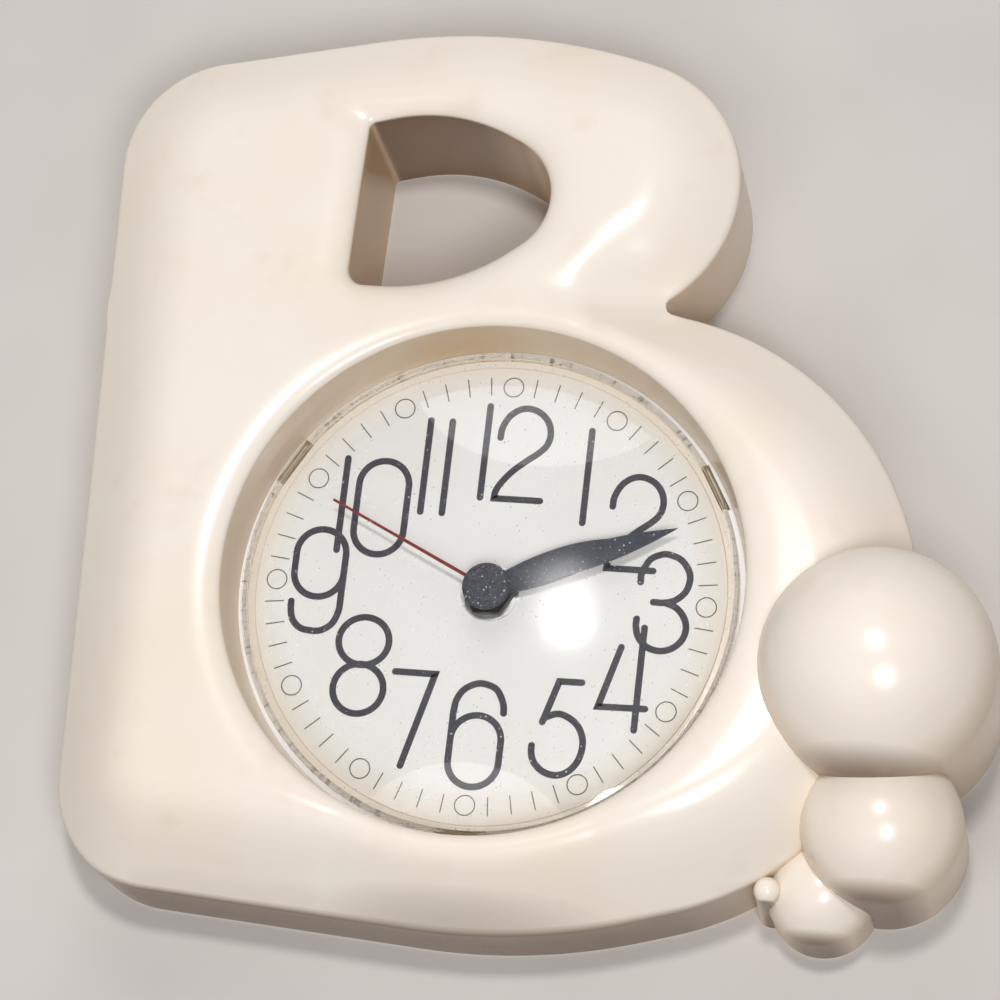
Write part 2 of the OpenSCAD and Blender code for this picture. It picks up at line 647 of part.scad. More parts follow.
module second_hand() stand() color("#b5322b") {
    translate([0, 0, second_hand_h]) rotate(-second_angle) difference() {
        union() {
            translate([-second_w / 2, 0, 0]) cube([second_w, second_reach * dial_r, hand_t / 2]);
            cylinder(r = cap_r * 0.6, h = hand_t / 2, $fn = fine);
        }
        translate([0, 0, -eps]) cylinder(r = second_arbor_r, h = hand_t, $fn = fine);
    }
}
module centre_cap() stand() color(BLACK) {
    rod(cap_r, second_hand_h + hand_t / 2, second_hand_h + hand_t / 2 + cap_t);
}

// Shaft stack

module nut_blank(af, t) { cylinder(r = af / sqrt(3), h = t, $fn = 6); }
module dial_nut() stand() color(BRASS) translate([0, 0, dial_h + washer_t]) difference() {
    nut_blank(nut_af, nut_t);
    translate([0, 0, -eps]) cylinder(r = bush_r, h = nut_t + 2 * eps, $fn = fine);
}
module dial_washer() stand() color(STEEL) ring(washer_r, bush_r, dial_h, dial_h + washer_t);
module rubber_washer() stand() color("#3a3a3a") ring(rubber_r, bush_r, move_front_h, dial_back_h);

// Movement housing

module housing_outline(inset) {
    r = move_corner - inset;
    hull() for (x = [-1, 1], y = [-move_down, move_up])
        translate([x * (move_w / 2 - move_corner), y - sign(y) * move_corner])
            circle(r = r, $fn = fine / 3);
}
module movement_front() stand() color("#22252a") {
    difference() {
        union() {
            translate([0, 0, plate_in_h]) linear_extrude(plate_t) housing_outline(0);
            translate([0, 0, cover_in_h + eps]) linear_extrude(plate_in_h - cover_in_h) difference() {
                housing_outline(0);
                housing_outline(plate_t);
            }
            box(-bay_in_w / 2 - eps, bay_in_w / 2 + eps, bay_top_y, bay_top_y + wall_in_t,
                cover_in_h, plate_in_h + eps);
            rod(bush_r, move_front_h - eps, bush_top_h);
        }
        rod(hour_tube_r + run_gap, plate_in_h - 1, bush_top_h + 1);
        for (p = [third_at, inter_at, rotor_at])
            at(p) rod(arbor_r + run_gap, plate_in_h - eps, plate_in_h + pivot_len);
    }
    at(motion_at) rod(stud_r, cannon_layer[0] - 0.4, plate_in_h + eps);
}
module movement_cover() stand() color("#2b2e33") {
    difference() {
        intersection() {
            translate([0, 0, move_back_h]) linear_extrude(plate_t) housing_outline(0);
            box(-move_w, move_w, bay_top_y, move_w, move_back_h, cover_in_h);
        }
        for (p = [third_at, inter_at, rotor_at])
            at(p) rod(arbor_r + run_gap, cover_in_h - pivot_len, cover_in_h + eps);
        rod(second_arbor_r + run_gap, cover_in_h - pivot_len, cover_in_h + eps);
        at(knob_at) rod(knob_shaft_r + run_gap, move_back_h - 1, cover_in_h + 1);
    }
}

// Wheels

// A toothed disc. phase is the angle of the middle of a tooth
module toothed(z, m, phase, h0, h1) {
    r = m * z / 2;
    pitch = 360 / z;
    root = r - 0.85 * m;
    tip = r + 0.7 * m;
    translate([0, 0, h0]) linear_extrude(h1 - h0) polygon([for (i = [0 : z - 1])
        let (a = phase + i * pitch) each [
            root * aim(a - tooth_root * pitch), r * aim(a - tooth_mid * pitch),
            tip * aim(a - tooth_tip * pitch), tip * aim(a + tooth_tip * pitch),
            r * aim(a + tooth_mid * pitch), root * aim(a + tooth_root * pitch)]]);
}
// A wheel's openings between its spokes
module spokes_cut(r_in, r_out, count, h0, h1) {
    web = 0.9;
    if (r_out > r_in) translate([0, 0, h0 - eps]) linear_extrude(h1 - h0 + 2 * eps) difference() {
        circle(r = r_out, $fn = fine);
        circle(r = r_in, $fn = fine);
        for (i = [0 : count - 1]) rotate(360 * i / count)
            translate([0, -web / 2]) square([2 * r_out, web]);
    }
}
module hour_wheel() stand() color(NYLON) difference() {
    union() {
        toothed(hour_z, hour_m, hour_phase, hour_layer[0], hour_layer[1]);
        rod(hour_tube_r, hour_layer[1] - eps, hour_hand_h + hand_t);
    }
    rod(cannon_r + run_gap, hour_layer[0] - 1, hour_hand_h + 1);
}
module motion_wheel() stand() color(NYLON) at(motion_at) difference() {
    union() {
        toothed(motion_z, tooth_m, motion_phase, motion_layer[0], motion_layer[1]);
        toothed(motion_pinion_z, hour_m, motion_phase, motion_layer[1] - eps, hour_layer[1]);
    }
    rod(stud_r + run_gap, motion_layer[0] - 1, plate_in_h);
}
module cannon_pinion() stand() color(BRASS) difference() {
    union() {
        toothed(cannon_z, tooth_m, 0, cannon_layer[0], cannon_layer[1]);
        rod(cannon_r, centre_layer[0] - clutch_len, minute_hand_h + hand_t);
    }
    rod(second_arbor_r + run_gap, centre_layer[0] - 1, minute_hand_h + 1);
}
module centre_wheel() stand() color(NYLON) difference() {
    union() {
        toothed(centre_z, centre_m, centre_phase, centre_layer[0], centre_layer[1]);
        rod(cannon_r + 1.4, centre_layer[1] - eps, cannon_layer[0] - near_gap);
    }
    rod(cannon_r + run_gap, centre_layer[0] - 1, cannon_layer[0]);
    spokes_cut(cannon_r + 1.9, centre_m * centre_z / 2 - 2, 5, centre_layer[0], centre_layer[1]);
}
module clutch_spring() stand() color(BRASS)
    ring(cannon_r + 1.2, cannon_r, centre_layer[0] - clutch_len, centre_layer[0] - clutch_len + clutch_t);
// A wheel with its pinion on an arbor
module geared_arbor(z, m, phase, layer, pinion_z, pinion_m, pinion_phase, pinion_layer, r, h0, h1) {
    difference() {
        toothed(z, m, phase, layer[0], layer[1]);
        spokes_cut(pinion_m * pinion_z / 2 + 1, m * z / 2 - 1.8, 4, layer[0], layer[1]);
    }
    toothed(pinion_z, pinion_m, pinion_phase,
        min(pinion_layer[0], layer[1] - eps), max(pinion_layer[1], layer[0] + eps));
    rod(r, h0, h1);
}
module third_wheel() stand() color(NYLON) at(third_at)
    geared_arbor(third_z, tooth_m, third_phase, third_layer, third_pinion_z, centre_m, third_phase,
        third_pinion_layer, arbor_r, cover_in_h - pivot_len + near_gap, plate_in_h + pivot_len - near_gap);
module second_wheel() stand() color(NYLON)
    geared_arbor(second_z, tooth_m, 0, second_layer, second_pinion_z, tooth_m, 0, second_pinion_layer,
        second_arbor_r, cover_in_h - pivot_len + near_gap, second_hand_h + hand_t / 2);
module intermediate_wheel() stand() color(NYLON) at(inter_at)
    geared_arbor(inter_z, rotor_m, inter_pinion_phase, inter_layer, inter_pinion_z, tooth_m,
        inter_pinion_phase, inter_pinion_layer, arbor_r,
        cover_in_h - pivot_len + near_gap, plate_in_h + pivot_len - near_gap);
module rotor_pinion() stand() color(NYLON) at(rotor_at) {
    toothed(rotor_z, rotor_m, rotor_phase, rotor_pinion_layer[0], rotor_pinion_layer[1]);
    rod(arbor_r, cover_in_h - pivot_len + near_gap, plate_in_h + pivot_len - near_gap);
    rod(rotor_hub_r, magnet_layer[0], rotor_pinion_layer[0] + eps);
}
module rotor_magnet() stand() color("#4b4f55") at(rotor_at)
    ring(magnet_r, rotor_hub_r, magnet_layer[0], magnet_layer[1]);
module setting_knob() stand() color("#3b3e44") at(knob_at) {
    toothed(cannon_z, tooth_m, knob_phase, cannon_layer[0], cannon_layer[1]);
    rod(knob_shaft_r, move_back_h - near_gap - eps, cannon_layer[1]);
    difference() {
        rod(knob_r, move_back_h - near_gap - knob_t, move_back_h - near_gap);
        for (i = [0 : knob_flutes - 1]) rotate(360 * i / knob_flutes) translate([knob_r + 0.1, 0, 0])
            rod(0.4, move_back_h - near_gap - knob_t - 1, move_back_h);
    }
}

// Motor and electronics

module stator() stand() color(STEEL) translate([0, 0, stator_layer[0]])
    linear_extrude(stator_layer[1] - stator_layer[0]) difference() {
        union() {
            translate(rotor_at) circle(r = magnet_r + air_gap + 2.2, $fn = fine);
            for (x = [core_x0 + arm_r, core_x1 - arm_r]) {
                hull() {
                    translate(rotor_at + [x < rotor_at.x ? -3 : 2, 2]) circle(r = arm_r, $fn = 32);
                    translate([x, core_y - arm_bend]) circle(r = arm_r, $fn = 32);
                }
                hull() for (y = [core_y - arm_bend, core_y])
                    translate([x, y]) circle(r = arm_r, $fn = 32);
            }
        }
        translate(rotor_at) circle(r = magnet_r + air_gap, $fn = fine);
    }
module core_bar() {
    box(core_x0, core_x1, core_y - core_w / 2, core_y + core_w / 2,
        stator_layer[1], stator_layer[1] + core_t);
}
module coil_core() stand() color(STEEL) core_bar();
module along_core(r, x0, x1) {
    translate([x0, core_y, core_h]) rotate([0, 90, 0]) cylinder(r = r, h = x1 - x0, $fn = fine);
}
module coil_bobbin() stand() color("#d9d4c4") difference() {
    union() {
        along_core(bobbin_r, coil_x0 - 0.8, coil_x1 + 0.8);
        along_core(coil_r + 0.1, coil_x0 - 0.8, coil_x0);
        along_core(coil_r + 0.1, coil_x1, coil_x1 + 0.8);
    }
    core_bar();
}
module coil_winding() stand() color(COPPER) difference() {
    along_core(coil_r, coil_x0, coil_x1);
    along_core(bobbin_r, coil_x0 - 1, coil_x1 + 1);
}
module circuit_board() stand() color("#3f6b4a")
    box(board_x0, board_x1, board_y0, board_y1, cover_in_h, cover_in_h + board_t);
module chip_cap() stand() color("#1c1c1e") at([board_x1 - 5, (board_y0 + board_y1) / 2])
    translate([0, 0, cover_in_h + board_t]) intersection() {
        translate([0, 0, -chip_r]) sphere(r = chip_r * sqrt(2), $fn = fine);
        cylinder(r = chip_r, h = chip_r, $fn = fine);
    }
module quartz_crystal() stand() color(STEEL)
    translate([board_x0 + 2, (board_y0 + board_y1) / 2, cover_in_h + board_t + crystal_r])
        rotate([0, 90, 0]) cylinder(r = crystal_r, h = crystal_len, $fn = fine);

// Cell and contacts

module contact(side) {
    face = side * bay_in_w / 2;
    x0 = min(face, face - side * contact_t);
    box(x0, x0 + contact_t, cell_y - contact_w / 2, cell_y + contact_w / 2, cover_in_h, plate_in_h);
}
module contact_plus() stand() color(BRASS) contact(1);
module contact_minus() stand() color(STEEL) {
    contact(-1);
    spring_len = bay_in_w - 2 * contact_t - cell_len - cell_nub - near_gap * 2;
    translate([-bay_in_w / 2 + contact_t - eps, cell_y, cell_mid_h]) rotate([0, 90, 0])
        cylinder(r1 = cell_r * 0.7, r2 = cell_r * 0.4, h = spring_len, $fn = fine);
}
module battery_cell() stand() color("#8a9096")
    translate([bay_in_w / 2 - contact_t - near_gap, cell_y, cell_mid_h]) rotate([0, -90, 0]) {
        cylinder(r = cell_nub_r, h = cell_nub + eps, $fn = fine);
        translate([0, 0, cell_nub]) cylinder(r = cell_r, h = cell_len, $fn = fine);
    }

case();
lens();
dial();
hour_hand();
minute_hand();
second_hand();
centre_cap();
dial_nut();
dial_washer();
rubber_washer();
movement_front();
movement_cover();
hour_wheel();
motion_wheel();
cannon_pinion();
centre_wheel();
clutch_spring();
third_wheel();
second_wheel();
intermediate_wheel();
rotor_pinion();
rotor_magnet();
stator();
coil_core();
coil_bobbin();
coil_winding();
circuit_board();
chip_cap();
quartz_crystal();
contact_plus();
contact_minus();
battery_cell();
setting_knob();
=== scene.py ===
"""Looks of a cream wall clock shaped as an inflated letter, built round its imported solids."""

import math

import bmesh
import bpy
import numpy as np
from bpy.props import FloatProperty, FloatVectorProperty, PointerProperty
from mathutils import Matrix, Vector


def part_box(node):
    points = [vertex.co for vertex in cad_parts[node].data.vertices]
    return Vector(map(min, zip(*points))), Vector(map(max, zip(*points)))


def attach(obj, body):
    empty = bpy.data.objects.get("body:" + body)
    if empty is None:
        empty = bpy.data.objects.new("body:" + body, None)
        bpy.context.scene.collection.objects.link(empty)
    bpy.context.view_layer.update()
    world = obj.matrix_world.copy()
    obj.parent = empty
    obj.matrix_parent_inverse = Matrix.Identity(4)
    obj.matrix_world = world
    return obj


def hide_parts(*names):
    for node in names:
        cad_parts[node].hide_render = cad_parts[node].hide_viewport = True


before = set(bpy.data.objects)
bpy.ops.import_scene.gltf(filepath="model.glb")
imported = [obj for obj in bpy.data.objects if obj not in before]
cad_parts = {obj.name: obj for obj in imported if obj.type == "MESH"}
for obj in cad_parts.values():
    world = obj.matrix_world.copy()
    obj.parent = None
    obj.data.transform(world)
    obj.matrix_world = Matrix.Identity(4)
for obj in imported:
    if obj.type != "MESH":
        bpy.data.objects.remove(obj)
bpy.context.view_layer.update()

bl_info = {
    "name": "Letter Wall Clock",
    "version": (1, 0, 0),
    "blender": (4, 5, 0),
    "location": "View3D > Sidebar > Wall Clock",
    "description": "Moulded case, lens, printed dial, hands and movement finishes of a letter-shaped clock",
    "category": "Add Mesh",
}

# Shapes are drawn in millimetres on the clock's own face: x right, y up, h out from the wall, with
# the dial's axis at x = y = 0. HANG is the keyhole's hanging point there, the origin of the frame.
MM = 0.001
HANG = np.array([-0.5, 130.0])

# Corners of the letter and of the hole through it: x, y, radius, anticlockwise
LETTER = [
    [33, 72.7, 2], [50.8, 88, 36], [50.8, 128.6, 32], [-7, 146, 147], [-105, 126.5, 28],
    [-103.2, 66, 0], [-99, -76, 26], [16, -83.8, 148], [102.5, -58, 74.6], [102.5, 59, 74.6],
]
# The two bowls meet along a seam from the first corner to this one, which sags by SEAM_DIP
SEAM_CORNER, SEAM_DIP = 5, 4.2
HOLE = [
    [-42, 72.4, 4], [-16, 72.4, 48], [5.5, 89.7, 16], [5.5, 107.2, 15.8], [-19.8, 119.9, 43],
    [-41.3, 114.7, 1.5],
]
HOLE_MID = np.array([-19.0, 95.0])
# The outer wall grows taller up the letter
EDGE_SLOPE = 0.0486
# Valleys pressed into the front: depth, reach, half width, direction in degrees
NOTCH_VALLEY = (5.0, 42.0, 6.5, 185.0)
CREASE_VALLEY = (1.8, 24.0, 3.5, 160.0)
# Bubbles: x, y, radius, height of the ball's middle. The foot of the last one flares.
BUBBLES = [[94.7, -15.1, 28, 37], [97.8, -49.4, 19, 25], [84, -63.5, 13, 12], [72.3, -65.8, 3.2, 21]]
BUBBLE_WALL, BUBBLE_FLARE = 2.6, 1.2

# Heights and radii in the well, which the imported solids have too
DIAL_H, DIAL_T, LEDGE_T = 25.0, 1.5, 2.0
DIAL_BACK_H = DIAL_H - DIAL_T
WELL_FLOOR_H = DIAL_BACK_H - LEDGE_T
WELL_R, WELL_FLOOR_R, LENS_R, DIAL_R, LEDGE_R = 62.6, 61.0, 60.1, 56.5, 53.0
NEAR_GAP = 0.3
SEAT_R = DIAL_R + NEAR_GAP
LENS_T, LENS_RIM_H, LENS_RISE = 1.5, 3.5, 9.0
TABS, TAB_W, TAB_DEPTH, TAB_HOOK = 3, 12.0, 1.6, 0.8
DIAL_BORE_R = 4.15
WEB_T, WEB_HALF_W, WEB_TOP = 2.5, 13.0, 150.0
HAND_T, HAND_GAP = 0.4, 0.6
BUSH_TOP_H = DIAL_H + 2.7
HOUR_HAND_H = BUSH_TOP_H + NEAR_GAP
MINUTE_HAND_H = HOUR_HAND_H + HAND_T + HAND_GAP
SECOND_HAND_H = MINUTE_HAND_H + HAND_T + HAND_GAP
# Angles of the hands at rest, in degrees clockwise from 12
HOUR_ANGLE, MINUTE_ANGLE, SECOND_ANGLE = 65.6, 68.0, 296.0

# Spacing of the moulding's points, and facets round a large round piece
STEP = 1.6
FACETS = 256


def unit(v):
    """Vectors scaled to a length of 1."""
    return v / np.linalg.norm(v, axis=-1, keepdims=True)


def aim(angle):
    """Unit vectors at angles in radians, anticlockwise from x."""
    return np.stack([np.cos(angle), np.sin(angle)], -1)


def circle(radius, facets):
    """Points round a circle about the dial's axis."""
    return radius * aim(np.linspace(0, 2 * np.pi, facets + 1)[:-1])


def cross(u, v):
    """Height component of the cross product of flat vectors."""
    return u[..., 0] * v[..., 1] - u[..., 1] * v[..., 0]


def blend(a, b, t):
    """a where t is 0, b where t is 1, and straight between."""
    return a + (b - a) * t


def soft_roll(t):
    """Sine quarter wave from 0 at t = 0 to 1 at t = 1, then level."""
    return np.sin(np.pi / 2 * np.clip(t, 0, 1))


def round_roll(t):
    """Quarter circle from 0 at t = 0, where it stands upright, to 1 at t = 1, then level."""
    return np.sqrt(1 - (1 - np.clip(t, 0, 1)) ** 2)


def both_ends(count):
    """Shares from 0 to 1, close together at both ends: half of one minus the cosine of a half turn."""
    return (1 - np.cos(np.pi * np.linspace(0, 1, count + 1))) / 2


class Outline:
    """A closed outline of straights and round corners, and how far a point lies from it."""

    def __init__(self, corners):
        pts = np.array(corners, float)
        p, self.r = pts[:, :2], pts[:, 2]
        u, v = unit(p - np.roll(p, 1, 0)), unit(np.roll(p, -1, 0) - p)
        self.turn = np.arctan2(cross(u, v), (u * v).sum(1))
        self.side = np.where(self.turn < 0, -1.0, 1.0)
        left = np.stack([-u[:, 1], u[:, 0]], 1)
        start = p - u * (self.r * np.tan(np.abs(self.turn) / 2))[:, None]
        self.mid = start + left * (self.r * self.side)[:, None]
        first = -left * self.side[:, None]
        self.a0 = np.arctan2(first[:, 1], first[:, 0])
        self.count = len(p)

    def on_corner(self, i, t, inset=0.0):
        """Points of corner i: its arc's middle plus its radius, less the inset, along the swept angle."""
        i %= self.count
        reach = self.r[i] - self.side[i] * inset
        return self.mid[i] + aim(self.a0[i] + self.turn[i] * np.asarray(t, float)) * reach

    def run(self, i, inset, step, t0=0.0, t1=1.0, line=True):
        """Points of corner i from share t0 to t1, then of the straight after it, about step apart."""
        arc_len = abs(self.turn[i % self.count]) * self.r[i % self.count] * (t1 - t0)
        arcs = max(2, int(round(arc_len / step))) if arc_len > 0 else 0
        out = [self.on_corner(i, np.linspace(t0, t1, arcs + 1) if arcs else [0.0], inset)]
        a, b = self.on_corner(i, 1.0), self.on_corner(i + 1, 0.0)
        parts = int(round(np.linalg.norm(b - a) / step))
        if line and parts > 1:
            t = np.linspace(0, 1, parts + 1)[1:-1, None]
            out.append(blend(self.on_corner(i, 1.0, inset), self.on_corner(i + 1, 0.0, inset), t))
        return np.concatenate(out)

    def loop(self, inset, step):
        """The whole outline moved inwards by inset."""
        return np.concatenate([self.run(i, inset, step) for i in range(self.count)])

    def gap(self, p):
        """Distance from points to the outline: the least over its arcs and its straights."""
        best = np.full(p.shape[:-1], 1e9)
        for i in range(self.count):
            if self.r[i] > 0:
                v = p - self.mid[i]
                swept = np.sign(self.turn[i]) * (np.arctan2(v[..., 1], v[..., 0]) - self.a0[i])
                on_arc = np.mod(swept, 2 * np.pi) <= abs(self.turn[i])
                off = np.abs(np.linalg.norm(v, axis=-1) - self.r[i])
                best = np.minimum(best, np.where(on_arc, off, 1e9))
            a, b = self.on_corner(i, 1.0), self.on_corner(i + 1, 0.0)
            v = b - a
            t = np.clip(((p - a) @ v) / max(v @ v, 1e-9), 0, 1)
            best = np.minimum(best, np.linalg.norm(p - a - t[..., None] * v, axis=-1))
        return best


LETTER_LINE = Outline(LETTER)
HOLE_LINE = Outline(HOLE)


def mm(length):
    """A length of the sidebar, which is in metres, in millimetres."""
    return length / MM


def edge_at(size, p):
    """Height of the outer wall's top: a level at the dial's middle plus a slope up the letter."""
    return mm(size.edge_height) + EDGE_SLOPE * p[..., 1]


def valley(shape, start, p):
    """A pressed valley: its depth times a fade along its direction times a bell curve across it."""
    depth, reach, half, direction = shape
    way = aim(math.radians(direction))
    d = p - start
    along, side = d @ way, cross(d, way)
    fade = np.clip(1 - np.abs(along) / reach, 0, None) ** 1.5
    behind = np.where(along < 0, np.exp(-((along / half) ** 2)), 1.0)
    return depth * fade * np.exp(-((side / half) ** 2)) * behind


def front_at(size, p):
    """Height of the front: the lips, plus a quarter-round rise to the crest, less the valleys,
    blended along a sine down to the outer wall's edge. The distance to the nearer lip is the
    negative log of the two distances' summed exponentials, so it changes over softly."""
    lip_w, roll_w = mm(size.lip_width), mm(size.roll_width)
    to_edge = LETTER_LINE.gap(p)
    to_well = np.maximum(0, np.linalg.norm(p, axis=-1) - mm(size.well_radius))
    to_hole = HOLE_LINE.gap(p)
    soft, far = 1.6, 60.0
    near = np.exp(-np.minimum(to_well, far) / soft) + np.exp(-np.minimum(to_hole, far) / soft)
    to_lip = np.clip(-soft * np.log(near), 0, None)
    share = np.clip(to_well / np.maximum(1e-6, to_well + to_hole), 0, 1)
    lip = blend(mm(size.lip_height), mm(size.hole_lip_height), share)
    dip = valley(NOTCH_VALLEY, LETTER_LINE.on_corner(0, 0.5), p)
    dip = dip + valley(CREASE_VALLEY, HOLE_LINE.on_corner(len(HOLE) - 1, 0.5), p)
    top = lip + mm(size.crest_rise) * round_roll(to_lip / lip_w) - dip * soft_roll(to_lip / lip_w)
    return blend(edge_at(size, p), top, soft_roll(to_edge / np.minimum(roll_w, to_lip + to_edge + 1e-6)))


def place(points):
    """Points (x, y, h) on the clock's face in millimetres as frame points in metres."""
    p = np.asarray(points, float)
    return np.stack([p[..., 0] - HANG[0], -p[..., 2], p[..., 1] - HANG[1]], -1) * MM


def grid_faces(index):
    """Quads of a grid of vertex numbers: each cell's four corners in order."""
    return np.stack([index[:-1, :-1], index[1:, :-1], index[1:, 1:], index[:-1, 1:]], -1).reshape(-1, 4)


def new_mesh(name, points, faces, weld=1e-5):
    """A closed mesh of points in millimetres: doubles merged, faces turned outwards."""
    mesh = bpy.data.meshes.new(name)
    mesh.from_pydata(place(points).reshape(-1, 3), [], [list(f) for f in faces])
    bm = bmesh.new()
    bm.from_mesh(mesh)
    bmesh.ops.remove_doubles(bm, verts=bm.verts, dist=weld * MM)
    bmesh.ops.dissolve_degenerate(bm, edges=bm.edges, dist=weld * MM)
    bmesh.ops.delete(bm, geom=[v for v in bm.verts if not v.link_faces], context="VERTS")
    bmesh.ops.recalc_face_normals(bm, faces=bm.faces)
    bm.to_mesh(mesh)
    bm.free()
    return mesh


def revolve(profile, facets, mid=(0.0, 0.0)):
    """A profile of (radius, height) turned about an upright axis: points and faces."""
    profile = np.asarray(profile, float)
    flat = np.array(mid) + profile[:, None, :1] * circle(1.0, facets)[None]
    heights = np.broadcast_to(profile[:, None, 1:], (len(profile), facets, 1))
    points = np.concatenate([flat, heights], -1)
    index = np.arange(len(profile) * facets).reshape(len(profile), facets)
    index = np.concatenate([index, index[:, :1]], 1)
    return points.reshape(-1, 3), grid_faces(index)


def ring_solid(profile, facets):
    """A closed profile turned about the dial's axis."""
    return revolve(np.vstack([profile, profile[:1]]), facets)


def prism(loop, h0, h1):
    """A flat outline raised from h0 to h1: two copies of it, its sides and two ends."""
    n = len(loop)
    points = np.concatenate([np.c_[loop, np.full(n, h0)], np.c_[loop, np.full(n, h1)]])
    turn = np.arange(n)
    sides = np.stack([turn, (turn + 1) % n, (turn + 1) % n + n, turn + n], 1)
    return points, [list(f) for f in sides] + [list(turn[::-1]), list(turn + n)]


def box_loop(x0, x1, y0, y1):
    """The four corners of a rectangle."""
    return np.array([[x0, y0], [x1, y0], [x1, y1], [x0, y1]], float)


def join_solids(solids):
    """Several (points, faces) as one, with each one's faces counted on from the last."""
    starts = np.cumsum([0] + [len(points) for points, _ in solids[:-1]])
    faces = np.concatenate([own + start for (_, own), start in zip(solids, starts)])
    return np.concatenate([points for points, _ in solids]), faces


def combine(mesh, steps):
    """mesh joined with or cut by other solids in turn. steps holds ("UNION", mesh) and so on."""
    for solid in [mesh, *(other for _, other in steps)]:
        bm = bmesh.new()
        bm.from_mesh(solid)
        if any(not edge.is_manifold for edge in bm.edges):
            raise RuntimeError(f"{solid.name} isn't closed")
        bm.free()
    base = bpy.data.objects.new("combine_base", mesh)
    bpy.context.scene.collection.objects.link(base)
    others = []
    for action, other in steps:
        tool = bpy.data.objects.new("combine_tool", other)
        bpy.context.scene.collection.objects.link(tool)
        others.append(tool)
        cut = base.modifiers.new("combine", "BOOLEAN")
        cut.operation, cut.object, cut.solver = action, tool, "MANIFOLD"
    depsgraph = bpy.context.evaluated_depsgraph_get()
    result = bpy.data.meshes.new_from_object(base.evaluated_get(depsgraph))
    for obj in [base, *others]:
        bpy.data.objects.remove(obj)
    if not result.polygons:
        raise RuntimeError("a combined solid came out empty")
    return result


# ---------------------------------------------------------------- moulded case


def bowl_rays(part, step, inset):
    """Start points of one bowl's rays: along the letter's outline, then back along the seam."""
    line, n = LETTER_LINE, LETTER_LINE.count
    notch, stem = line.on_corner(0, 0.5, inset), line.on_corner(SEAM_CORNER, 0.0, inset)
    length = np.linalg.norm(line.on_corner(SEAM_CORNER, 0.0) - line.on_corner(0, 0.5))
    t = both_ends(int(round(length / step)))[1:-1, None]
    seam = blend(notch, stem, t) - np.array([0, SEAM_DIP]) * np.sin(np.pi * t)
    if part == "lower":
        runs = [line.run(i, inset, step) for i in range(SEAM_CORNER, n)]
        walled = np.concatenate([*runs, line.run(0, inset, step, 0.0, 0.5, False)])
        return np.concatenate([walled, seam]), len(walled)
    runs = [line.run(i, inset, step) for i in range(1, SEAM_CORNER)]
    walled = np.concatenate([line.run(0, inset, step, 0.5, 1.0), *runs, stem[None]])
    return np.concatenate([walled, seam[::-1]]), len(walled)


def leave_loop(loop, mid, p):
    """Where spokes from mid towards points p cross a loop: the share of the one edge each crosses."""
    d = unit(p - mid)[:, None]
    a = (loop - mid)[None]
    b = (np.roll(loop, -1, 0) - mid)[None]
    ca, cb = cross(d, a), cross(d, b)
    ahead = (d * (a + b)).sum(-1) > 0
    hit = ((ca <= 0) & (cb > 0) & ahead).argmax(1)
    rows = np.arange(len(p))
    a, b = a[0, hit], b[0, hit]
    ca, cb = ca[rows, hit], cb[rows, hit]
    return mid + blend(a, b, (ca / (ca - cb))[:, None])


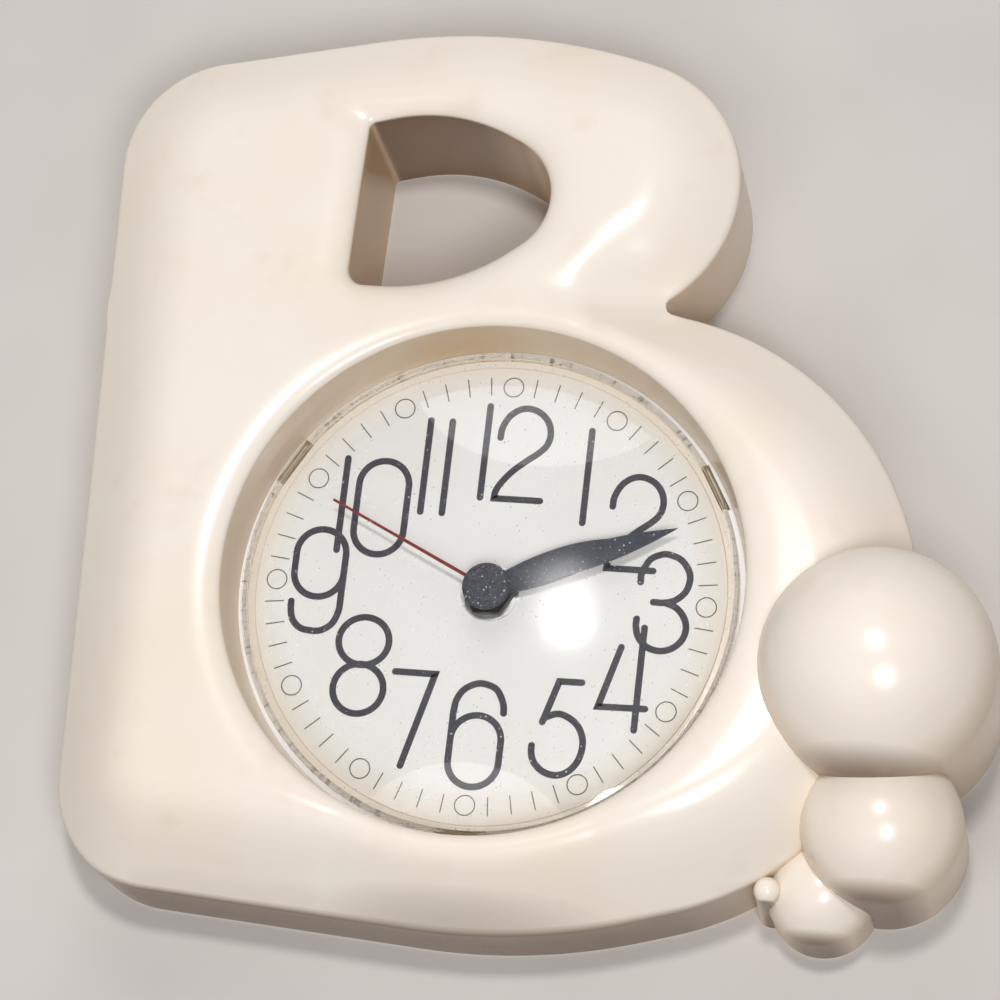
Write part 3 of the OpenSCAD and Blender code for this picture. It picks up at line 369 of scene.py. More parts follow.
def bowl(size, part):
    """One bowl of the letter as rows of points, from the outer rim over the front and down into
    the well or the hole, and back along the inner skin, and the faces between them."""
    wall = mm(size.wall)
    rays, walled = bowl_rays(part, STEP, 0.0)
    rays_in, _ = bowl_rays(part, STEP, wall)
    # where one arc runs straight into the next, their shared point is kept once
    keep = np.linalg.norm(rays - np.roll(rays, 1, 0), axis=1) > STEP / 8
    keep[0], keep[walled:] = True, True
    walled = int(keep[:walled].sum())
    rays, rays_in = rays[keep], rays_in[keep]
    if part == "lower":
        lips = unit(rays) * mm(size.well_radius)
        lips_in = unit(rays_in) * (mm(size.well_radius) + wall)
        feet, feet_in, foot_h = unit(rays) * WELL_FLOOR_R, lips_in, WELL_FLOOR_H
    else:
        lips = leave_loop(HOLE_LINE.loop(0.0, 0.4), HOLE_MID, rays)
        lips_in = leave_loop(HOLE_LINE.loop(-wall, 0.4), HOLE_MID, rays_in)
        feet, feet_in, foot_h = lips, lips_in, 0.0
    n = len(rays)
    number = np.arange(n)
    on_wall = number < walled
    edge = np.where(on_wall, edge_at(size, rays), front_at(size, rays))

    # the edge's small round fades out over the last few millimetres before the seam
    fade = 6.0
    along = np.minimum(number, walled - 1 - number) * STEP
    along_seam = np.minimum(number - walled + 1, n - number) * STEP
    fillet = mm(size.edge_round) * np.clip(np.where(on_wall, along, along_seam) / fade, 0, 1)
    start = rays + (lips - rays) * (fillet / np.linalg.norm(lips - rays, axis=1))[:, None]
    start_h = front_at(size, start)

    wall_rows, round_rows, front_rows, well_rows, inner_rows = 7, 5, 40, 6, 12
    rows = []
    for u in np.linspace(0, 1, wall_rows):
        rows.append(np.c_[rays, np.where(on_wall, u * (edge - fillet), edge)])
    # over the round, a height blends its start, corner and end by (1 - u)^2, 2u(1 - u) and u^2
    for u in np.linspace(0, 1, round_rows + 1)[1:]:
        flat, smooth = blend(rays, start, u * u), blend(rays, start, u)
        bent = (1 - u) ** 2 * (edge - fillet) + 2 * u * (1 - u) * edge + u * u * start_h
        rows.append(np.where(on_wall[:, None], np.c_[flat, bent], np.c_[smooth, front_at(size, smooth)]))
    for u in both_ends(front_rows)[1:]:
        p = blend(start, lips, u)
        rows.append(np.c_[p, front_at(size, p)])
    lip_h = rows[-1][:, 2]
    for u in np.linspace(0, 1, well_rows + 1)[1:]:
        rows.append(np.c_[blend(lips, feet, u), blend(lip_h, foot_h, u)])
    rows.append(np.c_[feet_in, np.full(n, foot_h)])
    rows.append(np.c_[lips_in, blend(foot_h, front_at(size, lips_in) - wall, 0.5)])
    for u in both_ends(inner_rows):
        p = blend(lips_in, rays_in, u)
        rows.append(np.c_[p, front_at(size, p) - wall])
    rim_row, rim_top = len(rows) - 1, rows[-1][:, 2]
    for share in (0.5, 0.0):
        rows.append(np.c_[rays_in, np.where(on_wall, share * rim_top, rim_top)])

    points = np.stack(rows)
    index = np.arange(points.shape[0] * n).reshape(-1, n)
    around = np.concatenate([index, index[:, :1]], 1)
    rim = np.concatenate([index[rim_row:], index[:wall_rows]])[:, :walled]
    faces = [grid_faces(around[wall_rows - 1 : rim_row + 1]), grid_faces(rim)]
    return points.reshape(-1, 3), np.concatenate(faces)


def letter_mesh(size):
    """Both bowls, welded along the seam between them."""
    return new_mesh("letter", *join_solids([bowl(size, part) for part in ("lower", "upper")]), weld=2e-3)


def bubble_mesh(bubble, inset, foot, facets, flare=0.0):
    """A bubble: a ball on a cylinder that may flare at its foot. Its profile runs up the side,
    which widens with the square of the way down, then round a quarter circle."""
    x, y, r, h = bubble
    quarter = np.linspace(0, np.pi / 2, facets // 4 + 1)
    ball = np.c_[(r - inset) * np.cos(quarter), h + (r - inset) * np.sin(quarter)]
    down = np.linspace(1, 0, 9)[:8]
    side = np.c_[r - inset + flare * down**2, blend(h, foot, down)]
    points, faces = revolve(np.vstack([[[0, foot]], side, ball]), facets, (x, y))
    return new_mesh("bubble", points, faces)


def case_mesh(size):
    """The whole moulding: letter, bubbles, dial seat and hanger web as one skin."""
    wall = mm(size.wall)
    balls = [bubble_mesh(b, 0.0, 0.0, 128) for b in BUBBLES[:-1]]
    balls.append(bubble_mesh(BUBBLES[-1], 0.0, 0.0, 64, BUBBLE_FLARE))
    insides = [bubble_mesh(b, BUBBLE_WALL, -wall, 96 if b[2] > 10 else 32) for b in BUBBLES]
    core = new_mesh("core", *prism(LETTER_LINE.loop(wall / 2, 4.0), -1.0, mm(size.edge_height) - wall))
    hollow = [("DIFFERENCE", m) for m in insides]
    bubbles = combine(balls[0], [*(("UNION", m) for m in balls[1:]), *hollow, ("DIFFERENCE", core)])
    outer, bevel = WELL_FLOOR_R + wall / 2, 0.2
    seat = [[outer, WELL_FLOOR_H], [outer, DIAL_H]]
    seat += [[SEAT_R + bevel, DIAL_H], [SEAT_R, DIAL_H - bevel], [SEAT_R, DIAL_BACK_H]]
    seat += [[LEDGE_R, DIAL_BACK_H], [LEDGE_R, WELL_FLOOR_H]]
    slots = [new_mesh("slot", *tab_prism(i, -NEAR_GAP, WELL_FLOOR_H - 1, DIAL_H + 1)) for i in range(TABS)]
    seat_mesh = combine(new_mesh("seat", *ring_solid(seat, FACETS)), [("DIFFERENCE", m) for m in slots])
    web_line = box_loop(HANG[0] - WEB_HALF_W, HANG[0] + WEB_HALF_W, HOLE_MID[1], WEB_TOP)
    inside = LETTER_LINE.loop(wall / 2, 2.0)
    web = combine(
        new_mesh("web", *prism(web_line, 0.0, WEB_T)),
        [
            ("INTERSECT", new_mesh("inside", *prism(inside, -1.0, WEB_T + 1))),
            ("DIFFERENCE", new_mesh("hole", *prism(HOLE_LINE.loop(-wall / 2, 1.0), -2.0, WEB_T + 2))),
            ("DIFFERENCE", new_mesh("keyhole", *prism(keyhole_loop(), -2.0, WEB_T + 2))),
        ],
    )
    return combine(letter_mesh(size), [*hollow, ("UNION", bubbles), ("UNION", seat_mesh), ("UNION", web)])


def keyhole_loop():
    """A round end below a narrow slot: its outline goes round the big circle, then the small one."""
    drop, big, small = 7.0, 4.5, 2.0
    gap = math.asin(small / big)
    lower = np.linspace(math.pi / 2 + gap, 2.5 * math.pi - gap, 40)
    upper = np.linspace(0, math.pi, 20)
    return np.concatenate([HANG + [0, -drop] + big * aim(lower), HANG + small * aim(upper)])


def tab_prism(i, grow, h0, h1):
    """The upright block of the lens's tab number i, made smaller or larger all round by grow."""
    a = math.radians(-90 + 360 / TABS * i)
    inner, outer, half = LENS_R - TAB_DEPTH + grow, LENS_R - NEAR_GAP - 2 * grow, TAB_W / 2 - grow
    corners = np.array([[inner, -half], [outer, -half], [outer, half], [inner, half]])
    turn = np.array([[math.cos(a), math.sin(a)], [-math.sin(a), math.cos(a)]])
    return prism(corners @ turn, h0, h1)


# ---------------------------------------------------------------- materials


def linear(hex_colour):
    """An sRGB hex colour as linear red, green, blue and alpha."""
    srgb = [int(hex_colour[i : i + 2], 16) / 255 for i in (1, 3, 5)]
    return [c / 12.92 if c <= 0.04045 else ((c + 0.055) / 1.055) ** 2.4 for c in srgb] + [1.0]


def shade(level):
    """A grey of that level for a ramp."""
    return (level, level, level, 1.0)


def per_mm(size_mm):
    """A pattern's scale for features that are about size_mm across."""
    return 1 / (size_mm * MM)


def join(tree, source, socket):
    """Links an output, or a node's first live output, to a socket."""
    if isinstance(source, bpy.types.Node):
        source = next(out for out in source.outputs if out.enabled)
    tree.links.new(source, socket)


def node(tree, kind, settings=None, **links):
    """Adds a node. settings sets its sockets by name or number, its own properties after a dot, and
    a ramp's .stops, each a position and a colour. links joins its sockets, with _ for a space or i
    before a number, to other nodes."""
    made = tree.nodes.new("ShaderNode" + kind)
    for key, value in (settings or {}).items():
        if key == ".stops":
            elements = made.color_ramp.elements
            while len(elements) < len(value):
                elements.new(0.5)
            for element, (position, colour) in zip(elements, value):
                element.position, element.color = position, colour
        elif str(key).startswith("."):
            setattr(made, key[1:], value)
        else:
            made.inputs[key].default_value = value
    for key, source in links.items():
        join(tree, source, made.inputs[int(key[1:]) if key[1:].isdigit() else key.replace("_", " ")])
    return made


def material(name, colour, rough=0.5, metal=0.0, **sockets):
    """A new material: its tree, its shader and its Object coordinates. Extra sockets set constants."""
    made = bpy.data.materials.new(name)
    made.use_nodes = True
    tree = made.node_tree
    shader = tree.nodes["Principled BSDF"]
    sockets.update(Base_Color=colour, Roughness=rough, Metallic=metal)
    for key, value in sockets.items():
        shader.inputs[key.replace("_", " ")].default_value = value
    return made, tree, shader, node(tree, "TexCoord").outputs["Object"]


def mottle(tree, shader, where, colour, other, size_mm):
    """Colour that drifts between two tones over patches of about size_mm."""
    patches = node(tree, "TexNoise", {"Scale": per_mm(size_mm), "Detail": 3.0}, Vector=where)
    mix = node(tree, "ValToRGB", {".stops": [(0.35, colour), (0.7, other)]}, Fac=patches)
    join(tree, mix, shader.inputs["Base Color"])
    return mix


def grain(tree, shader, where, size_mm, depth_mm, strength):
    """A fine bump of grains of about size_mm and depth_mm."""
    grains = node(tree, "TexNoise", {"Scale": per_mm(size_mm), "Detail": 3.0}, Vector=where)
    bump = node(tree, "Bump", {"Strength": strength, "Distance": depth_mm * MM}, Height=grains)
    join(tree, bump, shader.inputs["Normal"])


def vary_rough(tree, shader, where, size_mm, low, high):
    """Roughness that drifts between two values, as handled surfaces do."""
    patches = node(tree, "TexNoise", {"Scale": per_mm(size_mm), "Detail": 4.0}, Vector=where)
    ends = {"From Min": 0.3, "From Max": 0.7, "To Min": low, "To Max": high}
    join(tree, node(tree, "MapRange", ends, Value=patches), shader.inputs["Roughness"])


def from_axis(tree, where):
    """Distance from the dial's axis: the length of what is left when depth is taken out."""
    centre = [-HANG[0] * MM, 0.0, -HANG[1] * MM]
    apart = node(tree, "VectorMath", {".operation": "SUBTRACT", 1: centre}, i0=where)
    flat = node(tree, "VectorMath", {".operation": "MULTIPLY", 1: [1.0, 0.0, 1.0]}, i0=apart)
    return node(tree, "VectorMath", {".operation": "LENGTH"}, i0=flat)


def aged_and_shaded_styrene(colours):
    """Cream polystyrene, injection moulded and polished: a soft sheen over a faintly wavy skin.
    The upright walls are tan, partly from yellowing with age and partly as painted shade, most round the
    hole.
    Walls that face down carry a dark brown painted shade. Age has left faint light brown marks here and
    there."""
    cream = [*colours.case, 1.0]
    made, tree, shader, where = material(
        "aged_and_shaded_cream_polystyrene", cream, rough=0.3, IOR=1.5, Coat_Weight=0.12, Coat_Roughness=0.12
    )
    colour = mottle(tree, shader, where, cream, [*colours.case_warm, 1.0], 45)
    way = node(tree, "SeparateXYZ", Vector=node(tree, "TexCoord").outputs["Normal"]).outputs
    radius = from_axis(tree, where)
    # the walls round the hole get the most tan: their yellowing plus painted shade for the shade inside the
    # hole
    middle = {".operation": "DISTANCE", 1: place([*HOLE_MID, 20.0])}
    most = node(
        tree,
        "MapRange",
        {"From Min": 36 * MM, "From Max": 44 * MM, "To Min": 1.0, "To Max": 0.6},
        Value=node(tree, "VectorMath", middle, i0=where),
    )
    # upright walls get the tan: partly yellowing, partly painted shade
    facing = node(tree, "Math", {".operation": "ABSOLUTE"}, i0=way["Y"])
    upright = node(tree, "MapRange", {"From Min": 0.55, "From Max": 0.1}, Value=facing, To_Max=most)
    # outside the well, the walls that face down, the hole's top wall among them, are darkened to a deep
    # brown: painted shade
    lip = {"From Min": (WELL_R + 3.4) * MM, "From Max": (WELL_R + 4.4) * MM, "To Max": 0.85}
    outside = node(tree, "MapRange", lip, Value=radius)
    under = node(tree, "MapRange", {"From Min": -0.78, "From Max": -0.97}, Value=way["Z"], To_Max=outside)
    # the seat round the dial, which the lens covers, has stayed as pale as the dial
    floor = {"From Min": (WELL_FLOOR_R + 0.3) * MM, "From Max": WELL_FLOOR_R * MM, "To Max": 0.8}
    inside = node(tree, "MapRange", floor, Value=radius)
    seat = node(tree, "MapRange", {"From Min": -0.85, "From Max": -0.95}, Value=way["Y"], To_Max=inside)
    # faint light brown marks, drawn from a pattern of about 12 mm
    spots = node(tree, "TexNoise", {"Scale": per_mm(12), "Detail": 2.0}, Vector=where)
    marks = node(tree, "ValToRGB", {".stops": [(0.62, shade(0.0)), (0.85, shade(0.13))]}, Fac=spots)
    # the tan is partly yellowing and partly painted shade on the walls
    tan, white = [*colours.case_walls_tan_and_shade, 1.0], [*colours.dial, 1.0]
    # the dark brown #644a31 on the walls that face down is painted shade
    layers = ((upright, tan), (under, linear("#644a31")), (seat, white), (marks, linear("#c39a72")))
    for share, tone in layers:
        colour = node(tree, "Mix", {".data_type": "RGBA", 7: tone}, Factor=share, i6=colour)
    join(tree, colour, shader.inputs["Base Color"])
    vary_rough(tree, shader, where, 14, 0.235, 0.262)
    grain(tree, shader, where, 6.0, 0.01, 0.4)
    return made


def dusty_acrylic():
    """Clear acrylic, moulded and polished: it lets light through, bends it a little and carries
    dust specks."""
    clear = linear("#fdfdfb")
    glass = {"IOR": 1.49, "Transmission_Weight": 1.0, "Coat_Weight": 0.25, "Coat_Roughness": 0.1}
    made, tree, shader, where = material("clear_acrylic", clear, rough=0.0, **glass)
    # pale specks about 2.2 mm apart, in patches
    specks = node(tree, "TexVoronoi", {"Scale": per_mm(2.2)}, Vector=where)
    dots = node(tree, "ValToRGB", {".stops": [(0.06, shade(0.7)), (0.13, shade(0.0))]}, Fac=specks)
    patches = node(tree, "TexNoise", {"Scale": per_mm(16), "Detail": 2.0}, Vector=where)
    patch = node(tree, "ValToRGB", {".stops": [(0.4, shade(0.0)), (0.55, shade(1.0))]}, Fac=patches)
    dust = node(tree, "Math", {".operation": "MULTIPLY"}, i0=dots, i1=patch)
    # the rim is tinted a little tan: painted shade, standing in for the shaded wall seen through the lens's
    # edge
    rim = node(tree, "MapRange", {"From Min": 49 * MM, "From Max": 58.5 * MM}, Value=from_axis(tree, where))
    rim_tint_painted_shade = node(tree, "ValToRGB", {".stops": [(0.0, clear), (1.0, linear("#f5ede1"))]}, Fac=rim)
    join(tree, rim_tint_painted_shade, shader.inputs["Base Color"])
    # the tabs, below the dial, are scuffed milky where they were pushed home
    deep = node(tree, "SeparateXYZ", Vector=where).outputs["Y"]
    below = {"From Min": -(DIAL_H + 0.4) * MM, "From Max": -DIAL_H * MM, "To Max": 0.85}
    scuff = node(tree, "MapRange", below, Value=deep)
    # light reaches the dial straight through the lens
    ray = node(tree, "LightPath").outputs
    lit = node(tree, "Math", {".operation": "MAXIMUM"}, i0=ray["Is Shadow Ray"], i1=ray["Is Diffuse Ray"])
    dull, through = "BsdfDiffuse", "BsdfTransparent"
    shown = shader
    for share, kind, tone in ((dust, dull, "#e9e8ea"), (scuff, dull, "#e6dccb"), (lit, through, "#f4f4f2")):
        shown = node(tree, "MixShader", Fac=share, i1=shown, i2=node(tree, kind, {"Color": linear(tone)}))
    join(tree, shown, tree.nodes["Material Output"].inputs["Surface"])
    return made


def dial_card(colours):
    """Matt white styrene sheet, screen printed: an even, faintly cool white with a fine tooth."""
    white = [*colours.dial, 1.0]
    made, tree, shader, where = material("white_dial_sheet", white, rough=0.55, IOR=1.5)
    mottle(tree, shader, where, white, linear("#f3f2f2"), 30)
    grain(tree, shader, where, 0.5, 0.004, 0.4)
    return made


def dust_on(tree, shader, where, hex_colour, level):
    """Pale dust grains about 0.25 mm across and 1.3 mm apart, and a fine bloom, on a dark surface."""
    grains = node(tree, "TexVoronoi", {"Scale": per_mm(1.3)}, Vector=where)
    dots = node(tree, "ValToRGB", {".stops": [(0.1, shade(level)), (0.17, shade(0.0))]}, Fac=grains)
    film = node(tree, "TexNoise", {"Scale": per_mm(0.5), "Detail": 3.0, "Roughness": 0.7}, Vector=where)
    bloom = node(tree, "ValToRGB", {".stops": [(0.4, shade(0.0)), (0.75, shade(0.25 * level))]}, Fac=film)
    both = node(tree, "Math", {".operation": "MAXIMUM"}, i0=dots, i1=bloom)
    tones = {".data_type": "RGBA", 6: linear(hex_colour), 7: linear("#c3c4cc")}
    join(tree, node(tree, "Mix", tones, Factor=both), shader.inputs["Base Color"])


def dial_ink(name, hex_colour, dust):
    """Screen-printing ink: a flat dark film, with dust grains over it."""
    made, tree, shader, where = material(name, linear(hex_colour), rough=0.55, Specular_IOR_Level=0.3)
    dust_on(tree, shader, where, hex_colour, dust)
    return made


def hand_paint(name, hex_colour, dust):
    """Satin paint on pressed aluminium, with pale dust grains that have settled on it."""
    made, tree, shader, where = material(name, linear(hex_colour), rough=0.6, Specular_IOR_Level=0.25)
    dust_on(tree, shader, where, hex_colour, dust)
    vary_rough(tree, shader, where, 3, 0.55, 0.68)
    return made


def turned_metal(name, hex_colour, other, rough):
    """Metal shaped by a lathe or a press: fine grain about 0.3 mm across and a patchy tarnish."""
    made, tree, shader, where = material(name, linear(hex_colour), rough=rough, metal=1.0)
    mottle(tree, shader, where, linear(hex_colour), linear(other), 3)
    grain(tree, shader, where, 0.3, 0.01, 0.4)
    vary_rough(tree, shader, where, 2, rough * 0.8, rough * 1.25)
    return made


def moulded_plastic(name, hex_colour, other, rough=0.5, grain_mm=0.6, depth_mm=0.02):
    """Injection-moulded plastic with the fine spark texture of its tool."""
    made, tree, shader, where = material(name, linear(hex_colour), rough=rough)
    mottle(tree, shader, where, linear(hex_colour), linear(other), 8)
    grain(tree, shader, where, grain_mm, depth_mm, 0.5)
    vary_rough(tree, shader, where, 5, rough * 0.9, rough * 1.12)
    return made


def cell_jacket():
    """Printed film shrunk on a steel can: a dark band at the plus end, bare steel on both faces."""
    steel, grey, dark = linear("#c9cbcd"), linear("#6d737a"), linear("#2c2f34")
    made, tree, shader, where = material("cell_film_jacket", grey, rough=0.32)
    low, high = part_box("battery_cell")
    along = node(tree, "SeparateXYZ", Vector=where).outputs["X"]
    share = node(tree, "MapRange", {"From Min": low.x, "From Max": high.x}, Value=along)
    bands = [(0.0, steel), (0.012, grey), (0.70, grey), (0.705, dark), (0.955, dark), (0.96, steel)]
    bands.append((1.0, steel))
    join(tree, node(tree, "ValToRGB", {".stops": bands}, Fac=share), shader.inputs["Base Color"])
    faces = [(0.0, shade(1.0)), (0.012, shade(0.0)), (0.955, shade(0.0)), (0.96, shade(1.0))]
    bare = node(tree, "ValToRGB", {".stops": faces}, Fac=share)
    bare.color_ramp.interpolation = "CONSTANT"
    join(tree, bare, shader.inputs["Metallic"])
    vary_rough(tree, shader, where, 4, 0.28, 0.38)
    return made


# ---------------------------------------------------------------- properties


def length_property(name, description, default_mm):
    """A length in the sidebar, given in millimetres."""
    default = default_mm * MM
    return FloatProperty(name=name, description=description, default=default, unit="LENGTH", precision=5)


def colour_property(name, description, hex_colour):
    """A colour in the sidebar."""
    default = linear(hex_colour)[:3]
    return FloatVectorProperty(
        name=name, description=description, default=default, subtype="COLOR", size=3, min=0.0, max=1.0
    )


class ClockSizes(bpy.types.PropertyGroup):
    """Sizes of the moulded case and the hands."""

    edge_height: length_property("Edge height", "Height of the outer wall level with the dial's middle", 26.0)
    edge_round: length_property("Edge round", "Size of the round where the front meets the outer wall", 1.3)
    roll_width: length_property("Roll width", "Width over which the front rolls down to the outer wall", 24.0)
    lip_width: length_property("Lip width", "Width over which the front rolls down into the well", 9.0)
    crest_rise: length_property("Crest rise", "Height of the crest above the lips", 3.5)
    lip_height: length_property("Lip height", "Height of the well's lip above the wall", 39.5)
    hole_lip_height: length_property("Hole lip height", "Height of the hole's lip above the wall", 36.5)
    well_radius: length_property("Well radius", "Radius of the well at its lip", WELL_R)
    wall: length_property("Wall", "Thickness of the moulding", 3.0)
    hour_length: length_property("Hour hand", "Length of the hour hand", 36.0)
    minute_length: length_property("Minute hand", "Length of the minute hand", 47.4)
    second_length: length_property("Second hand", "Length of the second hand", 44.0)
    cap_radius: length_property("Cap", "Radius of the cap over the hands", 5.7)
    stroke: length_property("Numeral stroke", "Width of a numeral's stroke", 1.62)


class ClockColours(bpy.types.PropertyGroup):
    """Colours of the case, the dial and the wall."""

    case: colour_property("Case", "Cream of the moulding", "#f0e7dc")
    case_warm: colour_property("Case, warm patches", "Slightly yellowed cream", "#ede1d0")
    # the walls' tan is partly yellowing and partly painted shade
    case_walls_tan_and_shade: colour_property("Case, upright walls", "Aged tan of the walls", "#d0b28c")
    dial: colour_property("Dial", "White of the dial", "#f7f7f9")
    wall: colour_property("Wall", "Pale grey of the backdrop", "#cfcac5")


# ---------------------------------------------------------------- pieces


def add_piece(name, mesh, sharp, body, made, *nodes, slot=None):
    """A piece with smooth faces and edges that are crisp above an angle. It gets its material, its
    body and the nodes that it stands for. Its record slot is not used."""
    mesh.shade_smooth()
    mesh.set_sharp_from_angle(angle=math.radians(sharp))
    mesh.materials.clear()
    mesh.materials.append(made)
    piece = bpy.data.objects.new(name, mesh)
    bpy.context.scene.collection.objects.link(piece)
    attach(piece, body)
    if nodes:
        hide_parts(*nodes)
    return piece


class CLOCK_OT_case(bpy.types.Operator):
    """Builds the moulded case as one smooth skin"""

    bl_idname = "clock.case"
    bl_label = "Case"

    def execute(self, context):
        made = aged_and_shaded_styrene(context.scene.clock_colours)
        mesh = case_mesh(context.scene.clock_sizes)
        add_piece("case_moulding", mesh, 38.0, "clock", made, "case", slot="case_plastic")
        return {"FINISHED"}


class CLOCK_OT_lens(bpy.types.Operator):
    """Builds the domed lens with its rim and snap tabs"""

    bl_idname = "clock.lens"
    bl_label = "Lens"

    def execute(self, context):
        reach, rim = LENS_R - LENS_T / 2, DIAL_H + LENS_RIM_H
        ball = (reach**2 + LENS_RISE**2) / (2 * LENS_RISE)

        def dome(r, drop):
            """Height of the dome: a ball's surface that rises LENS_RISE above the rim."""
            return rim + np.sqrt(ball**2 - r**2) - ball + LENS_RISE - drop

        r = reach * np.sin(np.linspace(0, math.pi / 2, 49))
        inner_r = (LENS_R - LENS_T) * np.sin(np.linspace(math.pi / 2, 0, 41))
        bend = np.linspace(math.pi / 2, 0, 8)[1:]
        soft, bevel = LENS_T / 2, 0.15
        profile = np.vstack(
            [
                np.c_[r, dome(r, 0.0)],
                np.c_[reach + soft * np.cos(bend), rim - soft + soft * np.sin(bend)],
                [[LENS_R, DIAL_H + bevel], [LENS_R - bevel, DIAL_H], [LENS_R - LENS_T, DIAL_H]],
                np.c_[inner_r, dome(inner_r, LENS_T)],
            ]
        )
        low, high = WELL_FLOOR_H - TAB_HOOK - NEAR_GAP, DIAL_H + 0.6
        tabs = [("UNION", new_mesh("tab", *tab_prism(i, 0.0, low, high))) for i in range(TABS)]
        mesh = combine(new_mesh("lens", *revolve(profile, FACETS)), tabs)
        add_piece("lens_dome", mesh, 30.0, "clock", dusty_acrylic(), "lens", slot="lens_clear")
        return {"FINISHED"}


def smooth_path(points, per=10):
    """A Catmull-Rom curve through points: each span is a cubic whose end slopes are half the step
    between the neighbours on either side."""
    p = np.asarray(points, float)
    p = np.vstack([2 * p[0] - p[1], p, 2 * p[-1] - p[-2]])
    t = np.linspace(0, 1, per, endpoint=False)[:, None]
    a, b, c, d = (p[i : len(p) - 3 + i, None] for i in range(4))
    bent = (2 * a - 5 * b + 4 * c - d) * t**2 + (3 * b - a - 3 * c + d) * t**3
    curve = 0.5 * (2 * b + (c - a) * t + bent)
    return np.vstack([curve.reshape(-1, 2), p[-2]])


def arc_path(x, y, rx, ry, first=90, last=450, count=73):
    """Points of an ellipse, or of its arc between two angles in degrees, anticlockwise from x."""
    a = np.radians(np.linspace(first, last, count))
    return np.c_[x + rx * np.cos(a), y + ry * np.sin(a)]


def fine_path(points, step=0.25):
    """A path's points with more between them, at most step apart, and its corners kept."""
    p = np.asarray(points, float)
    out = [p[:1]]
    for a, b in zip(p[:-1], p[1:]):
        parts = max(1, int(math.ceil(np.linalg.norm(b - a) / step)))
        out.append(blend(a, b, np.linspace(0, 1, parts + 1)[1:, None]))
    return np.vstack(out)


def stroke_solid(path, width, h0, h1, round_ends=True):
    """A pen stroke: a flat bar carried along a path. Its half width shrinks along a circle at a
    round end, and a corner is mitred by the half angle's cosine. A path that ends where it starts
    has no ends. Points and faces."""
    p = fine_path(path)
    p = p[np.r_[True, np.linalg.norm(np.diff(p, axis=0), axis=1) > 1e-9]]
    closed = np.allclose(p[0], p[-1])
    if closed:
        p = p[:-1]
        after = unit(np.roll(p, -1, 0) - p)
        before = np.roll(after, 1, 0)
    else:
        step = unit(np.diff(p, axis=0))
        before, after = np.vstack([step[:1], step]), np.vstack([step, step[-1:]])
    mean = unit(before + after)
    mitre = 1 / np.maximum(0.35, (mean * after).sum(1))
    r = width / 2
    half = np.full(len(p), r)
    if round_ends and not closed:
        # the path is lengthened by a radius at each end, in steps that are finer at the tip
        rows = 6
        tip = r * np.sin(np.linspace(math.pi / 2, 0, rows + 1)[:-1])
        narrow = np.sqrt(np.maximum(r * r - tip**2, 0))
        p = np.vstack([p[:1] - before[:1] * tip[:, None], p, p[-1:] + after[-1:] * tip[::-1, None]])
        half = np.r_[narrow, half, narrow[::-1]]
        mean = np.vstack([np.repeat(mean[:1], rows, 0), mean, np.repeat(mean[-1:], rows, 0)])
        mitre = np.r_[np.ones(rows), mitre, np.ones(rows)]
    half = np.maximum(half, 1e-3)
    side = np.c_[-mean[:, 1], mean[:, 0]] * (half * mitre)[:, None]
    corners = ((side, h1), (-side, h1), (-side, h0), (side, h0))
    section = np.stack([np.c_[p + out, np.full(len(p), h)] for out, h in corners], 1)
    index = np.arange(4 * len(p)).reshape(len(p), 4)
    index = np.concatenate([index, index[:, :1]], 1)
    if closed:
        return section.reshape(-1, 3), grid_faces(np.concatenate([index, index[:1]]))
    ends = np.array([index[0, 3::-1], index[-1, :4]])
    return section.reshape(-1, 3), np.concatenate([grid_faces(index), ends])


def stadium_path(x0, x1, y0, y1):
    """A closed stadium: two straights joined by half circles."""
    r, mid = (x1 - x0) / 2, (x0 + x1) / 2
    top = arc_path(mid, y1 - r, r, r, 0, 180, 24)
    bottom = arc_path(mid, y0 + r, r, r, 180, 360, 24)
    return np.vstack([top, bottom, top[:1]])


# Points of the numerals' curves, from each numeral's lower left corner
TWO_CURVE = [
    (-0.1, 15.4), (0.1, 17.8), (1.5, 20.8), (3.9, 22.7), (6.5, 23.1), (9.3, 22.0), (11.3, 19.7), (12.0, 16.8),
    (11.4, 14.1), (9.6, 12.0), (6.7, 9.7), (3.7, 7.0), (1.3, 4.0), (0.2, 1.8), (0.0, 0.0),
]
THREE_TOP = [
    (0.0, 16.6), (0.1, 18.9), (1.7, 22.2), (4.1, 23.6), (6.1, 23.8), (9.1, 22.7), (11.1, 20.3), (11.7, 17.9),
    (11.0, 15.0), (8.9, 12.8), (6.3, 11.9), (3.5, 11.85),
]
THREE_LOW = [
    (6.3, 11.9), (9.1, 10.8), (11.1, 8.6), (11.9, 5.9), (11.2, 3.0), (9.0, 0.8), (6.1, 0.0), (3.0, 0.8),
    (0.8, 3.1), (0.0, 5.7), (0.0, 7.5),
]
FIVE_BOWL = [
    (2.2, 13.6), (5.0, 14.8), (7.4, 14.4), (10.1, 12.6), (11.7, 9.8), (12.0, 6.8), (11.2, 3.6), (9.2, 1.1),
    (6.4, 0.0), (3.3, 0.7), (1.0, 2.7), (0.1, 5.0), (0.0, 6.8),
]
SIX_TOP = [
    (12.0, 18.3), (11.6, 20.8), (9.8, 23.9), (7.0, 25.1), (4.6, 25.0), (1.9, 23.4), (0.4, 20.8), (0.0, 17.6),
]
NINE_LOW = [
    (12.1, 8.2), (12.0, 5.2), (10.8, 2.0), (8.4, 0.2), (6.0, -0.1), (3.2, 0.4), (1.2, 2.2), (0.4, 4.5),
    (0.2, 6.9),
]

